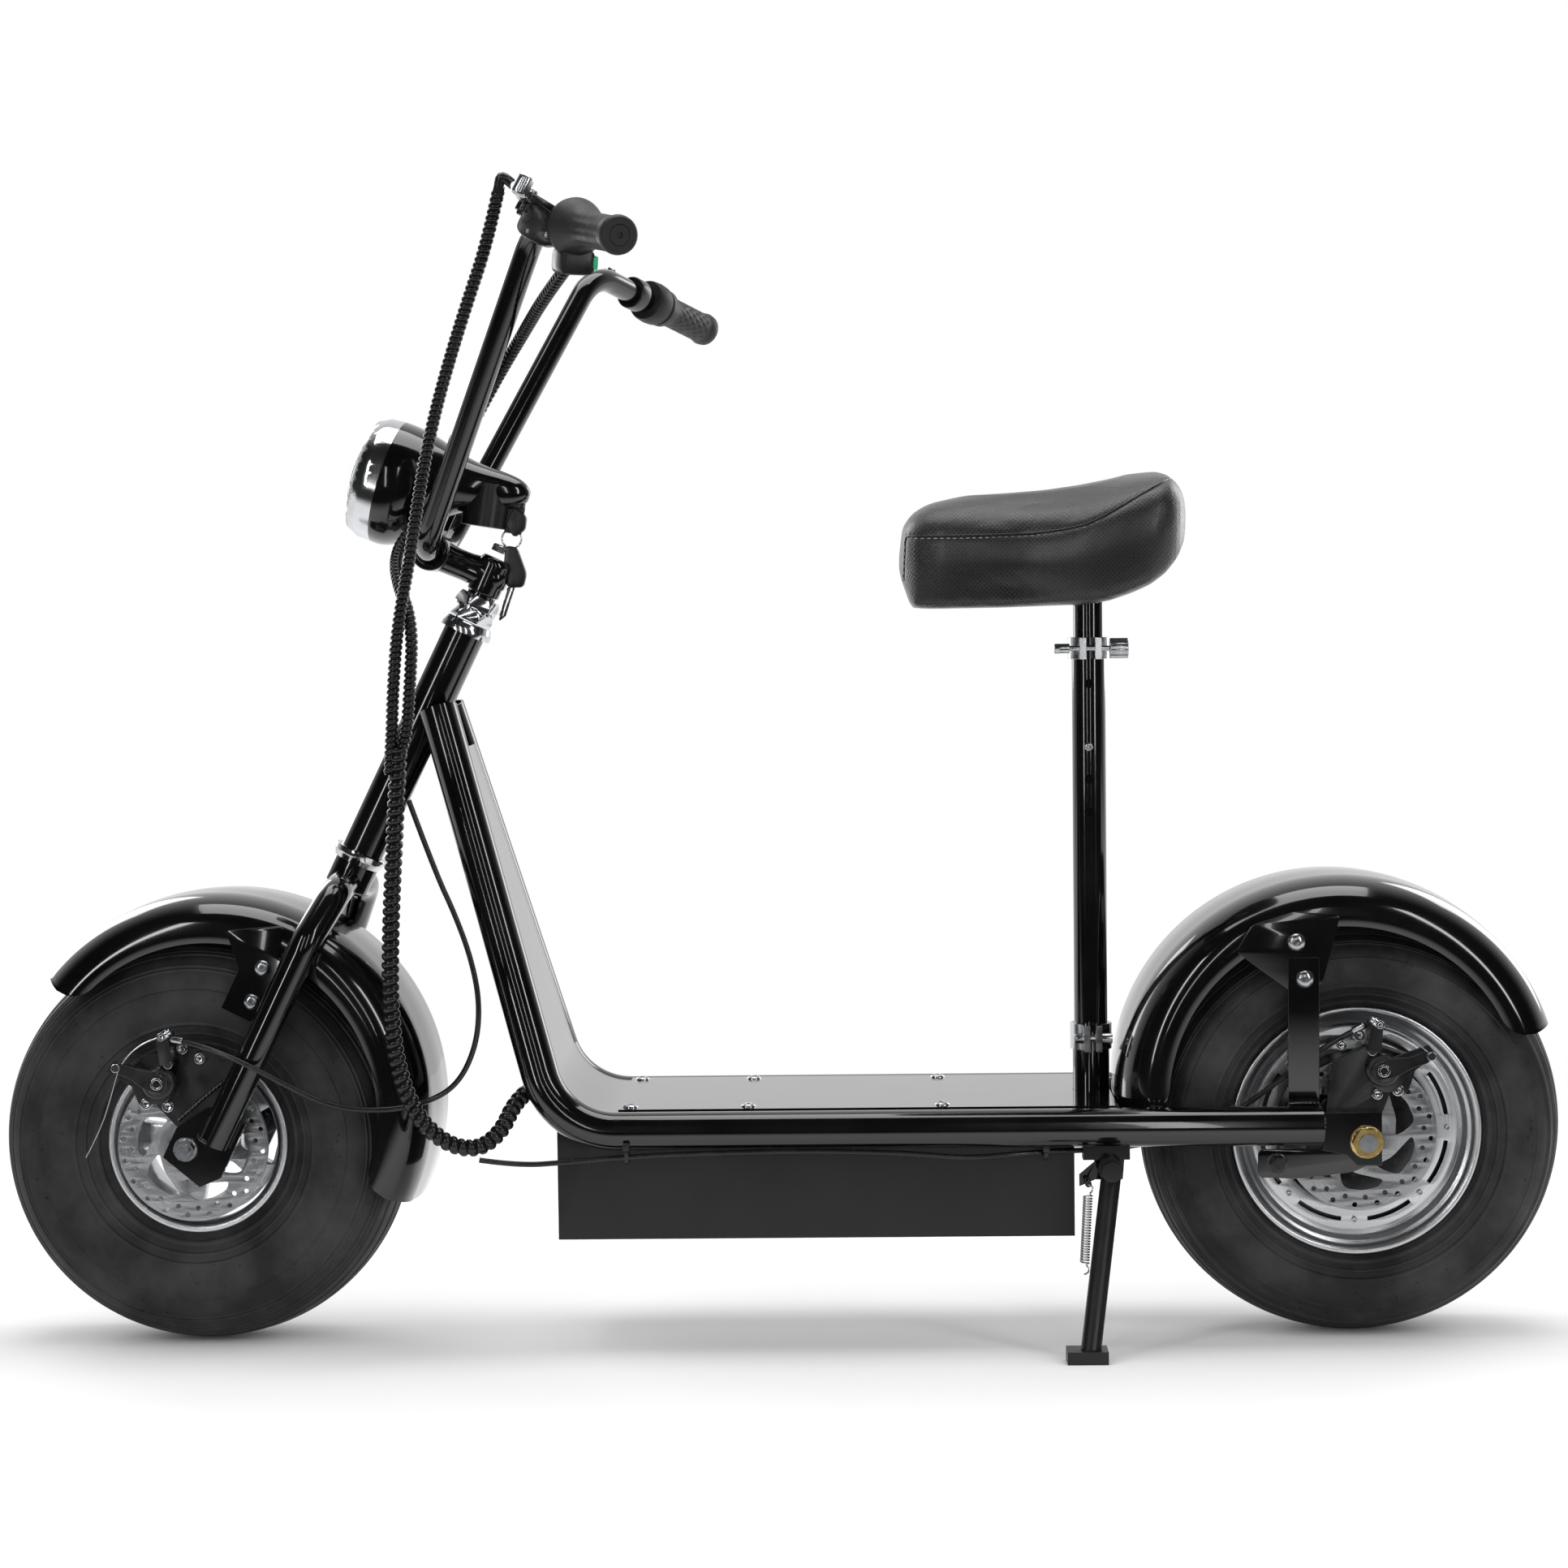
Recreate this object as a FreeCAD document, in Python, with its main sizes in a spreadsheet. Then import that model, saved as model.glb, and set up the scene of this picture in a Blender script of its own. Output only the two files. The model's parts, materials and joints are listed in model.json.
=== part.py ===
import FreeCAD, Part
import math
import os
import re

import Sketcher
from FreeCAD import Placement, Rotation, Vector

# Electric chopper scooter, leaning on its side stand, front towards -X, left side towards -Y.
# Every piece is built upright first, with x = 0 half way between the axles and z = 0 the floor.
doc = FreeCAD.newDocument("electric_chopper_scooter")
sheet = doc.addObject("Spreadsheet::Sheet", "Sizes")

# name, value in mm or degrees, what it is
SIZES = [
    ("wheelbase", 1062, "between the axles"),
    ("front_radius", 190, "front tyre, outside"),
    ("rear_radius", 193, "rear tyre, outside"),
    ("crown_radius", 90, "tread arc across both tyres"),
    ("tyre_half_width", 73, "widest, at the sidewall"),
    ("tyre_wall", 9, "rubber carcass"),
    ("rake", 26, "steering axis from upright"),
    ("fork_offset", 16, "axle ahead of the steering axis"),
    ("lean_angle", 3.5, "on the side stand, to the left"),
    ("steer_angle", 3, "front wheel turned to the right as parked"),
    ("frame_tube_radius", 17.5, "lower frame tubes"),
    ("frame_tube_wall", 2, "lower frame tubes"),
    ("tube_spread", 106, "tube axis from the mid plane, under the deck"),
    ("tube_level", 207, "tube axis over the floor, under the deck"),
    ("tube_top_spread", 27, "tube axis from the mid plane, at the head tube"),
    ("tube_top_level", 588, "upper end of the down tubes"),
    ("tube_top_place", 224, "upper end of the down tubes behind the front axle"),
    ("tube_corner", 334, "corner of the down tube and the deck rail behind the front axle"),
    ("tube_bend", 72, "bend radius of the frame tubes"),
    ("tube_rear", 39, "rear end of the deck rails ahead of the rear axle"),
    ("panel_offset", 14, "front panel over the tube axes"),
    ("panel_wall", 1.5, "front panel sheet"),
    ("panel_top", 548, "upper edge of the front panel"),
    ("deck_half_width", 95, "deck plate"),
    ("deck_wall", 3, "deck plate"),
    ("deck_front", 384, "front edge of the deck plate behind the front axle"),
    ("deck_rear", 223, "rear edge of the deck plate ahead of the rear axle"),
    ("deck_top", 225, "deck plate over the floor"),
    ("box_front", 333, "battery box behind the front axle"),
    ("box_rear", 260, "battery box ahead of the rear axle"),
    ("box_bottom", 105, "battery box over the floor"),
    ("box_half_width", 88, "battery box, outside"),
    ("box_wall", 2, "battery box sheet"),
    ("pack_gap", 14.5, "battery pack from either end of its box"),
    ("pack_height", 92, "battery pack"),
    ("pack_width", 168, "battery pack"),
    ("head_low", 302, "lower end of the head tube, along the steering axis"),
    ("head_high", 528, "upper end of the head tube, along the steering axis"),
    ("head_radius", 20, "head tube, outside"),
    ("head_wall", 2.5, "head tube"),
    ("steerer_radius", 14, "steerer tube"),
    ("bearing_gap", 0.05, "running fit of shafts in their bores"),
    ("cup_radius", 25, "headset cups"),
    ("cup_height", 11, "headset cups"),
    ("nut_flats", 36, "headset nuts, across flats"),
    ("nut_height", 11, "headset nuts"),
    ("crown_height", 24, "fork crown under the lower cup"),
    ("fork_tube_radius", 14, "fork legs"),
    ("fork_spread", 104, "fork leg axis from the mid plane"),
    ("fork_lag", 5, "fork legs behind the steering axis"),
    ("stem_level", 583, "handlebar clamp along the steering axis"),
    ("stem_reach", 57.7, "handlebar clamp ahead of the steering axis"),
    ("bar_radius", 11.1, "handlebar tube"),
    ("bar_wall", 2, "handlebar tube"),
    ("stem_clamp_width", 36, "handlebar clamp"),
    ("bar_low_spread", 48, "lower corner of the handlebar"),
    ("bar_high_reach", 63.2, "upper corner of the handlebar ahead of the steering axis"),
    ("bar_high_spread", 186.7, "upper corner of the handlebar"),
    ("bar_high_level", 888.5, "upper corner of the handlebar, along the steering axis"),
    ("bar_end_lag", 36.4, "handlebar ends behind the steering axis"),
    ("bar_end_spread", 366.5, "handlebar ends"),
    ("bar_end_level", 894.5, "handlebar ends along the steering axis"),
    ("bar_bend", 46, "bend radius of the handlebar"),
    ("grip_radius", 16.5, "rubber grips"),
    ("grip_length", 112, "rubber grips"),
    ("grip_flange", 25, "inner flange of the grips"),
    ("lamp_radius", 57.5, "headlight at its bezel"),
    ("lamp_level", 624, "headlight bezel centre along the steering axis"),
    ("lamp_reach", 121.6, "headlight bezel centre ahead of the steering axis"),
    ("lamp_length", 128, "headlight shell behind its bezel"),
    ("lamp_wall", 2.5, "headlight shell"),
    ("fender_half_width", 86, "both fenders"),
    ("fender_wall", 1.5, "both fenders"),
    ("fender_skirt", 42, "depth of the fender sides"),
    ("fender_shoulder", 24, "rounding of the fender edges"),
    ("front_fender_radius", 199, "front fender, outside"),
    ("rear_fender_radius", 202, "rear fender, outside"),
    ("disc_radius", 70, "brake discs"),
    ("disc_wall", 2.2, "brake discs"),
    ("disc_offset", 70, "brake discs from the mid plane"),
    ("front_rim_radius", 84.5, "front rim flange"),
    ("rear_rim_radius", 114.5, "rear rim flange"),
    ("rim_half_width", 56, "both rims"),
    ("axle_radius", 6, "front axle"),
    ("rear_axle_radius", 8, "rear axle"),
    ("axle_half_length", 121, "both axles"),
    ("post_lead", 238, "seat post axis ahead of the rear axle"),
    ("post_radius", 14, "sliding seat post"),
    ("post_wall", 2, "sliding seat post"),
    ("post_low", 440, "lower end of the sliding seat post"),
    ("mast_radius", 15.5, "fixed seat tube"),
    ("mast_high", 646, "upper end of the fixed seat tube"),
    ("socket_radius", 17, "socket of the seat tube"),
    ("socket_high", 288, "upper end of the socket"),
    ("saddle_bottom", 675, "saddle over the floor"),
    ("saddle_length", 246, "saddle"),
    ("saddle_lead", 158, "saddle nose ahead of the seat post axis"),
    ("saddle_height", 122, "saddle"),
    ("saddle_half_width", 118, "saddle"),
    ("stand_lead", 230, "stand pivot ahead of the rear axle"),
    ("stand_level", 172, "stand pivot over the floor"),
    ("stand_side", 112, "stand pivot from the mid plane"),
    ("stand_foot_side", 178, "stand foot from the mid plane"),
    ("stand_foot_lead", 24, "stand foot ahead of its pivot"),
    ("stand_radius", 9, "stand leg"),
    ("harness_radius", 5.5, "wrapped cable of the lever or the switch"),
    ("loom_radius", 7.5, "both wrapped cables together"),
    ("cable_radius", 2.5, "brake cables"),
    ("seat_gap", 0.3, "between a soft or loose piece and its seat"),
    ("stay_lead", 67, "fender stays ahead of the rear axle"),
]
for row, (name, value, meaning) in enumerate(SIZES, start=1):
    sheet.set(f"A{row}", meaning)
    sheet.set(f"B{row}", str(value))
    sheet.setAlias(f"B{row}", name)
doc.recompute()

ALIASES = {name for name, value, meaning in SIZES}
nodes = []


def linked(text):
    """Writes Sizes. before every size that an expression names"""
    return re.sub(r"[a-z_]+", lambda word: "Sizes." + word[0] if word[0] in ALIASES else word[0], text)


def size(text):
    """Works an expression out in mm or degrees"""
    return float(sheet.evalExpression(text))


def at(x, y, z, axis=(0, 0, 1), turn=0):
    """Placement from three lengths, as numbers or expressions, and a turn about an axis"""
    place = Vector(*[size(v) if isinstance(v, str) else v for v in (x, y, z)])
    return Placement(place, Rotation(Vector(*axis), turn))


def made(kind, name, place=None, **sizes):
    """Adds an object, binds its sizes to the sheet and puts it in its place"""
    item = doc.addObject(kind, name)
    for prop, text in sizes.items():
        item.setExpression(prop, linked(str(text)))
    if place:
        item.Placement = place
    return item


def node(item, name, body):
    """Names a finished sub-part and the body that it moves with"""
    item.Label = name
    nodes.append((item, body))
    return item


def cut(name, base, *tools):
    """Base less its tools"""
    for n, tool in enumerate(tools):
        result = doc.addObject("Part::Cut", name if n == len(tools) - 1 else f"{name}_cut{n}")
        result.Base, result.Tool = base, tool
        base = result
    return base


def fused(name, *pieces):
    """One solid from pieces that touch"""
    result = doc.addObject("Part::MultiFuse", name)
    result.Shapes = list(pieces)
    return result


def together(name, *pieces):
    """Like pieces that do not touch, kept in one sub-part"""
    result = doc.addObject("Part::Compound", name)
    result.Links = list(pieces)
    return result


def shaped(name, shape, frame=None):
    """Sub-part from a shape worked out in code, put into a frame if one is given"""
    item = doc.addObject("Part::Feature", name)
    item.Shape = shape
    if frame:
        item.Placement = frame.multiply(item.Placement)
    return item


def origin_of(body, role):
    return next(item for item in body.Origin.OriginFeatures if item.Role == role)


def sketched(body, name, plane, corners):
    """Closed outline whose corners are pairs of expressions"""
    sketch = body.newObject("Sketcher::SketchObject", name)
    sketch.AttachmentSupport = [(origin_of(body, plane), "")]
    sketch.MapMode = "FlatFace"
    spots = [Vector(size(str(x)), size(str(y)), 0) for x, y in corners]
    for n, spot in enumerate(spots):
        sketch.addGeometry(Part.LineSegment(spot, spots[(n + 1) % len(spots)]))
    for n in range(len(spots)):
        sketch.addConstraint(Sketcher.Constraint("Coincident", n, 2, (n + 1) % len(spots), 1))
    for n, corner in enumerate(corners):
        for kind, text in zip(("DistanceX", "DistanceY"), corner):
            length = size(str(text))
            number = sketch.addConstraint(Sketcher.Constraint(kind, -1, 1, n, 1, length))
            sketch.setExpression(f"Constraints[{number}]", linked(str(text)))
    return sketch


def turned(name, corners, place=None):
    """Round piece: pairs of radius and height, turned about its own z axis"""
    body = doc.addObject("PartDesign::Body", name)
    ring = body.newObject("PartDesign::Revolution", name + "_turning")
    ring.Profile = sketched(body, name + "_profile", "XZ_Plane", corners)
    ring.ReferenceAxis = (origin_of(body, "Z_Axis"), [""])
    ring.Angle = 360
    if place:
        body.Placement = place
    return body


def route(points, radii=None, share=0.45):
    """Wire of straight runs joined by tangent arcs, each as large as its two runs allow"""
    spots = [Vector(*p) for p in points]
    edges, start, bends = [], spots[0], []
    for n in range(1, len(spots) - 1):
        back, ahead = spots[n - 1] - spots[n], spots[n + 1] - spots[n]
        half = (math.pi - back.getAngle(ahead)) / 2
        radius = radii[n - 1] if radii else share * min(back.Length, ahead.Length) / math.tan(half)
        bends.append(radius)
        reach = radius * math.tan(half)
        first = spots[n] + back.normalize() * reach
        last = spots[n] + ahead.normalize() * reach
        inward = (back + ahead).normalize()
        middle = spots[n] + inward * (radius / math.cos(half) - radius)
        edges += [Part.LineSegment(start, first).toShape(), Part.Arc(first, middle, last).toShape()]
        start = last
    edges.append(Part.LineSegment(start, spots[-1]).toShape())
    return Part.Wire(edges), bends


def swept(name, points, radius, radii=None):
    """Solid rod along a route, its radius bound to the sheet"""
    wire, bends = route(points, radii)
    path = shaped(name + "_path", wire)
    run = (Vector(*points[1]) - Vector(*points[0])).normalize()
    ring = made("Part::Circle", name + "_ring", Radius=radius)
    ring.Placement = Placement(Vector(*points[0]), Rotation(Vector(0, 0, 1), run))
    rod = doc.addObject("Part::Sweep", name)
    rod.Sections = [ring]
    rod.Spine = (path, [f"Edge{n + 1}" for n in range(len(wire.Edges))])
    rod.Solid = True
    rod.Frenet = False
    return rod, wire.Length, bends


def tube(name, points, radius, wall, radii=None):
    """Hollow tube along a route"""
    outer = swept(name + "_outside", points, radius, radii)[0]
    inner = swept(name + "_bore", points, f"{radius} - {wall}", radii)[0]
    return cut(name, outer, inner)


def placed(shape, frame):
    """Copy of a shape moved into a frame"""
    result = shape.copy()
    result.Placement = frame.multiply(result.Placement)
    return result


def mirrored(points):
    return [(x, -y, z) for x, y, z in points]


def flat(outline, y, wall):
    """Plate parallel to the wheels, from pairs of x and z"""
    face = Part.Face(Part.makePolygon([Vector(x, y, z) for x, z in outline + outline[:1]]))
    return face.extrude(Vector(0, wall, 0))


# Places along the scooter, told from its axles
POST = "(wheelbase / 2 - post_lead)"
STAND = "(wheelbase / 2 - stand_lead)"
BOX_FRONT = "(box_front - wheelbase / 2)"
BOX_LENGTH = "(wheelbase - box_front - box_rear)"
route_wheelbase, middle_reach = 1062, 200


def kept_along(points):
    """Route laid out for one wheelbase, its ends moved with their axles and its middle stretched"""
    spare = size("wheelbase") - route_wheelbase
    return [(x + spare / 2 * max(-1, min(1, x / middle_reach)), y, z) for x, y, z in points]


# Frames that pieces are built in
across = Rotation(Vector(1, 0, 0), -90)
raked = Rotation(Vector(0, 1, 0), size("rake"))
front_axle_spot = Vector(size("-wheelbase / 2"), 0, size("front_radius"))
rear_axle_spot = Vector(size("wheelbase / 2"), 0, size("rear_radius"))
axis_foot = front_axle_spot + raked.multVec(Vector(size("fork_offset"), 0, 0))
# local z runs up the steering axis and local x to the rear, square to it
steering_frame = Placement(axis_foot, raked)
front_wheel_frame = Placement(front_axle_spot, across)
rear_wheel_frame = Placement(rear_axle_spot, across)


def on_axis(x, y, z):
    """Spot given along the steering axis, as a vector of the upright scooter"""
    return steering_frame.multVec(Vector(x, y, z))


def at_steering(level):
    """Placement on the steering axis at a level along it"""
    return steering_frame.multiply(at(0, 0, level))


# Head tube, welded between the two down tubes
head = turned("head_tube", [
    ("head_radius - head_wall", "head_low"), ("head_radius", "head_low"),
    ("head_radius", "head_high"), ("head_radius - head_wall", "head_high")], steering_frame)
node(head, "head_tube", "frame")

# Headset cups: pressed into the head tube, their bores carry the steerer
cup_bore = "steerer_radius + bearing_gap"
spigot = "head_radius - head_wall"
lower_cup = turned("lower_cup", [
    (cup_bore, "head_low - cup_height"), ("cup_radius - 3", "head_low - cup_height"),
    ("cup_radius", "head_low - 4"), ("cup_radius", "head_low"), (spigot, "head_low"),
    (spigot, "head_low + 10"), (cup_bore, "head_low + 10")])
upper_cup = turned("upper_cup", [
    (cup_bore, "head_high - 10"), (spigot, "head_high - 10"), (spigot, "head_high"),
    ("cup_radius", "head_high"), ("cup_radius", "head_high + 4"),
    ("cup_radius - 3", "head_high + cup_height"), (cup_bore, "head_high + cup_height")])
cups = together("headset_cups", lower_cup, upper_cup)
cups.Placement = steering_frame
node(cups, "headset_cups", "frame")

# Frame tubes: one long bend each, from the head tube down and back under the deck

def tube_route(side):
    return [
        (size("tube_top_place - wheelbase / 2"), side * size("tube_top_spread"), size("tube_top_level")),
        (size("tube_corner - wheelbase / 2"), side * size("tube_spread"), size("tube_level")),
        (size("wheelbase / 2 - tube_rear"), side * size("tube_spread"), size("tube_level"))]


for side, word in ((-1, "left"), (1, "right")):
    name = f"frame_tube_{word}"
    rail = tube(name + "_whole", tube_route(side), "frame_tube_radius", "frame_tube_wall",
                [size("tube_bend")])
    tool = made("Part::Cylinder", name + "_tool", Radius="head_radius", Height="head_high - head_low")
    tool.Placement = at_steering("head_low")
    node(cut(name, rail, tool), name, "frame")


def rail_solids():
    """Both frame tubes as plain rods, to trim what is welded to them"""
    rods = []
    for side in (-1, 1):
        wire, bends = route(tube_route(side), [size("tube_bend")])
        start = Vector(*tube_route(side)[0])
        run = Vector(*tube_route(side)[1]) - start
        ring = Part.Wire(Part.makeCircle(size("frame_tube_radius"), start, run))
        rods.append(wire.makePipeShell([ring], True, False))
    return rods


rails = rail_solids()


def trimmed(shape, keep=None):
    """Shape less the frame tubes, keeping the piece nearest to a spot"""
    rest = shape
    for rod in rails:
        rest = rest.cut(rod)
    if len(rest.Solids) == 1 or keep is None:
        return rest
    return min(rest.Solids, key=lambda piece: (piece.CenterOfMass - Vector(*keep)).Length)


def panel_strip():
    """Sheet that follows the bend of the frame tubes, from side to side"""
    top, corner, rear = [Vector(x, 0, z) for x, y, z in tube_route(-1)]
    down = (corner - top).normalize()
    out = Vector(-down.z, 0, down.x)
    high = corner - down * ((size("panel_top") - corner.z) / abs(down.z))
    wires = []
    for offset in (size("panel_offset"), size("panel_offset + panel_wall")):
        start = high + out * offset
        turn = down.getAngle(Vector(1, 0, 0))
        bend = size("tube_bend") - offset
        shift = offset * math.tan(turn / 2)
        knee = corner + Vector(shift, 0, offset)
        end = Vector(size("deck_front - wheelbase / 2 - seat_gap"), 0, knee.z)
        reach = bend * math.tan(turn / 2)
        first, last = knee - down * reach, knee + Vector(reach, 0, 0)
        if last.x >= end.x:
            end = last + Vector(1, 0, 0)
        inward = (Vector(1, 0, 0) - down).normalize()
        middle = knee + inward * (bend / math.cos(turn / 2) - bend)
        wires.append((start, first, middle, last, end))
    a, b = wires
    edges = [
        Part.LineSegment(a[0], a[1]), Part.Arc(a[1], a[2], a[3]), Part.LineSegment(a[3], a[4]),
        Part.LineSegment(a[4], b[4]), Part.LineSegment(b[4], b[3]), Part.Arc(b[3], b[2], b[1]),
        Part.LineSegment(b[1], b[0]), Part.LineSegment(b[0], a[0])]
    face = Part.Face(Part.Wire([edge.toShape() for edge in edges]))
    width = size("tube_spread")
    face.translate(Vector(0, -width, 0))
    return face.extrude(Vector(0, 2 * width, 0)), b[4].x


strip, panel_end = panel_strip()
panel = trimmed(strip, keep=(size("tube_corner - wheelbase / 2"), 0, size("tube_level + 60")))
node(shaped("front_panel", panel), "front_panel", "frame")

# Deck plate, screwed down on the battery box, with the hole for the seat tube
deck = made("Part::Box", "deck_blank", at(panel_end + 0.3, "-deck_half_width", "deck_top - deck_wall"),
            Length=f"wheelbase / 2 - deck_rear - ({panel_end + 0.3})", Width="2 * deck_half_width", Height="deck_wall")
deck_hole = made("Part::Cylinder", "deck_hole", at(POST, 0, "deck_top - deck_wall - 1"),
                 Radius="socket_radius + seat_gap", Height="deck_wall + 2")
node(cut("deck_plate", deck, deck_hole), "deck_plate", "frame")

# Battery box: folded sheet, open at the top under the deck plate
shell = made("Part::Box", "box_outside", at(BOX_FRONT, "-box_half_width", "box_bottom"),
             Length=BOX_LENGTH, Width="2 * box_half_width",
             Height="deck_top - deck_wall - box_bottom")
room = made("Part::Box", "box_inside",
            at(BOX_FRONT + " + box_wall", "box_wall - box_half_width", "box_bottom + box_wall"),
            Length=BOX_LENGTH + " - 2 * box_wall", Width="2 * box_half_width - 2 * box_wall",
            Height="deck_top - box_bottom")
doc.recompute()
open_box = shell.Shape.cut(room.Shape)
open_box = trimmed(open_box.cut(strip.removeSplitter()), keep=(0, 0, 150))
node(shaped("battery_box", open_box), "battery_box", "frame")

pack = made("Part::Box", "battery_pack",
            at(BOX_FRONT + " + pack_gap", "-pack_width / 2", "box_bottom + box_wall"),
            Length=BOX_LENGTH + " - 2 * pack_gap", Width="pack_width", Height="pack_height")
node(pack, "battery_pack", "frame")

# Cross member between the rails, with the socket of the seat tube through it
member = Part.makeBox(38, size("2 * tube_spread") - 12, 28)
member.translate(Vector(size(POST) - 19, size("-tube_spread") + 6, size("tube_level") - 14))
post_line = Part.makeCylinder(size("socket_radius"), 400, Vector(size(POST), 0, 0))
member = trimmed(member.cut(post_line), keep=(size(POST), 0, size("tube_level")))
socket = turned("socket_tube", [
    ("mast_radius", "tube_level - 14"), ("socket_radius", "tube_level - 14"),
    ("socket_radius", "socket_high"), ("mast_radius", "socket_high")], at(POST, 0, 0))
node(fused("seat_socket", shaped("cross_member", member), socket), "seat_socket", "frame")

# Seat tube, clamped in the socket by a chromed collar
mast = turned("seat_tube", [
    ("post_radius + bearing_gap", "tube_level - 14"), ("mast_radius", "tube_level - 14"),
    ("mast_radius", "mast_high"), ("post_radius + bearing_gap", "mast_high")], at(POST, 0, 0))
node(mast, "seat_tube", "frame")


def clamp_band(name, inner, outer, low, high, ear_gap, bolt_reach, knob_radius):
    """Split ring with two ears on the left and a pinch bolt through them"""
    ring = Part.makeCylinder(outer, high - low, Vector(0, 0, low))
    for side in (-1, 1):
        ear = Part.makeBox(6, 14, high - low)
        ear.translate(Vector(-3 + side * (ear_gap / 2 + 3), -outer - 11, low))
        ring = ring.fuse(ear)
    ring = ring.cut(Part.makeCylinder(inner, high - low, Vector(0, 0, low)))
    slit = Part.makeBox(ear_gap, 30, high - low)
    slit.translate(Vector(-ear_gap / 2, -outer - 20, low))
    ring = ring.cut(slit)
    spot = Vector(-bolt_reach, -outer - 5, (low + high) / 2)
    bolt = Part.makeCylinder(2.6, 2 * bolt_reach, spot, Vector(1, 0, 0))
    head = Part.makeCylinder(4.6, 13, spot - Vector(4, 0, 0), Vector(1, 0, 0))
    knob = Part.makeCylinder(knob_radius, 16, spot + Vector(2 * bolt_reach - 10, 0, 0), Vector(1, 0, 0))
    band = ring.fuse([bolt, head, knob]).removeSplitter()
    return shaped(name, band, at(POST, 0, 0))


seat_clamp = clamp_band("seat_clamp", size("mast_radius"), size("mast_radius + 3.5"),
                        size("mast_high") - 20, size("mast_high"), 8, 28, 9)
node(seat_clamp, "seat_clamp", "frame")
collar = clamp_band("socket_collar", size("socket_radius"), size("socket_radius + 2.2"),
                    size("socket_high") - 24, size("socket_high"), 5, 12, 4.6)
node(collar, "socket_collar", "frame")


def fender(radius, start, end):
    """Thin round-shouldered mudguard turned about the y axis, angles from +x towards +z"""
    half, wall, skirt, round_ = [size(w) for w in
                                 ("fender_half_width", "fender_wall", "fender_skirt", "fender_shoulder")]
    loops = []
    for inset in (0, wall):
        r, w, s = radius - inset, half - inset, round_ - inset
        side = s * (1 - math.sqrt(0.5))
        loops.append([
            Vector(radius - skirt, 0, w), Vector(r - s, 0, w), Vector(r - side, 0, w - side),
            Vector(r, 0, w - s), Vector(r + 1.5, 0, 0), Vector(r, 0, s - w),
            Vector(r - side, 0, side - w), Vector(r - s, 0, -w), Vector(radius - skirt, 0, -w)])
    a, b = loops
    edges = []
    for p in (a, b):
        edges += [
            Part.LineSegment(p[0], p[1]), Part.Arc(p[1], p[2], p[3]), Part.Arc(p[3], p[4], p[5]),
            Part.Arc(p[5], p[6], p[7]), Part.LineSegment(p[7], p[8])]
    edges += [Part.LineSegment(a[0], b[0]), Part.LineSegment(a[8], b[8])]
    wire = Part.Wire(Part.__sortEdges__([edge.toShape() for edge in edges]))
    face = Part.Face(wire)
    solid = face.revolve(Vector(0, 0, 0), Vector(0, 0, 1), end - start)
    solid.rotate(Vector(0, 0, 0), Vector(0, 0, 1), start)
    solid.rotate(Vector(0, 0, 0), Vector(1, 0, 0), 90)
    return solid


rear_guard_spot = rear_axle_spot + Vector(-15, 0, 32.6)
rear_guard = shaped("rear_fender", fender(size("rear_fender_radius"), 19, 184),
                    Placement(rear_guard_spot, Rotation()))
node(rear_guard, "rear_fender", "frame")

# Fender stays: a strap welded to each deck rail, its upper end bolted to the fender side
stays = []
for side in (-1, 1):
    strap = Part.makeBox(28, 4, 150)
    strap.translate(Vector(size("wheelbase / 2 - stay_lead"), side * (size("fender_half_width") + 2.2) - 2, size("tube_level")))
    stays.append(trimmed(strap, keep=(size("wheelbase / 2 - stay_lead"), side * 88, 300)))

# Rear dropouts, plates welded to the ends of the deck rails
dropouts = []
for side in (-1, 1):
    outline = [(-39, 26), (14, 26), (14, -22), (-8, -22), (-18, -12), (-39, -8)]
    face = Part.Face(Part.makePolygon([Vector(x, 0, z) for x, z in outline + outline[:1]]))
    slab = face.extrude(Vector(0, 8, 0))
    slab.translate(rear_axle_spot + Vector(0, side * size("tube_spread") - 4, 0))
    hole = Part.makeCylinder(size("rear_axle_radius"), 300, rear_axle_spot + Vector(0, -150, 0),
                             Vector(0, 1, 0))
    dropouts.append(slab.cut(hole).cut(rails[0 if side < 0 else 1]))
node(shaped("rear_stays", Part.Compound(stays)), "rear_stays", "frame")
node(shaped("rear_dropouts", Part.Compound(dropouts)), "rear_dropouts", "frame")


rear_axle = turned("rear_axle", [
    (0, "-axle_half_length"), ("rear_axle_radius", "-axle_half_length"),
    ("rear_axle_radius", "axle_half_length"), (0, "axle_half_length")], rear_wheel_frame)
node(rear_axle, "rear_axle", "frame")


def nut_pair(name, bore, flats, flange, inside, frame):
    """Flanged hexagon nut at each end of an axle, from the plate outwards"""
    nuts = []
    for side in (-1, 1):
        corner = flats / math.sqrt(3)
        hexagon = Part.makePolygon([
            Vector(corner * math.cos(math.radians(60 * n)), corner * math.sin(math.radians(60 * n)), 0)
            for n in range(7)])
        nut = Part.Face(hexagon).extrude(Vector(0, 0, 9)).fuse(Part.makeCylinder(flange, 2.5))
        nut = nut.cut(Part.makeCylinder(bore, 9)).removeSplitter()
        if side < 0:
            nut.rotate(Vector(0, 0, 0), Vector(1, 0, 0), 180)
        nut.translate(Vector(0, 0, side * inside))
        nuts.append(nut)
    return shaped(name, Part.Compound(nuts), frame)


rear_nuts = nut_pair("rear_axle_nuts", size("rear_axle_radius"), 24, 15,
                     size("tube_spread") + 4, rear_wheel_frame)
node(rear_nuts, "rear_axle_nuts", "frame")


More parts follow.
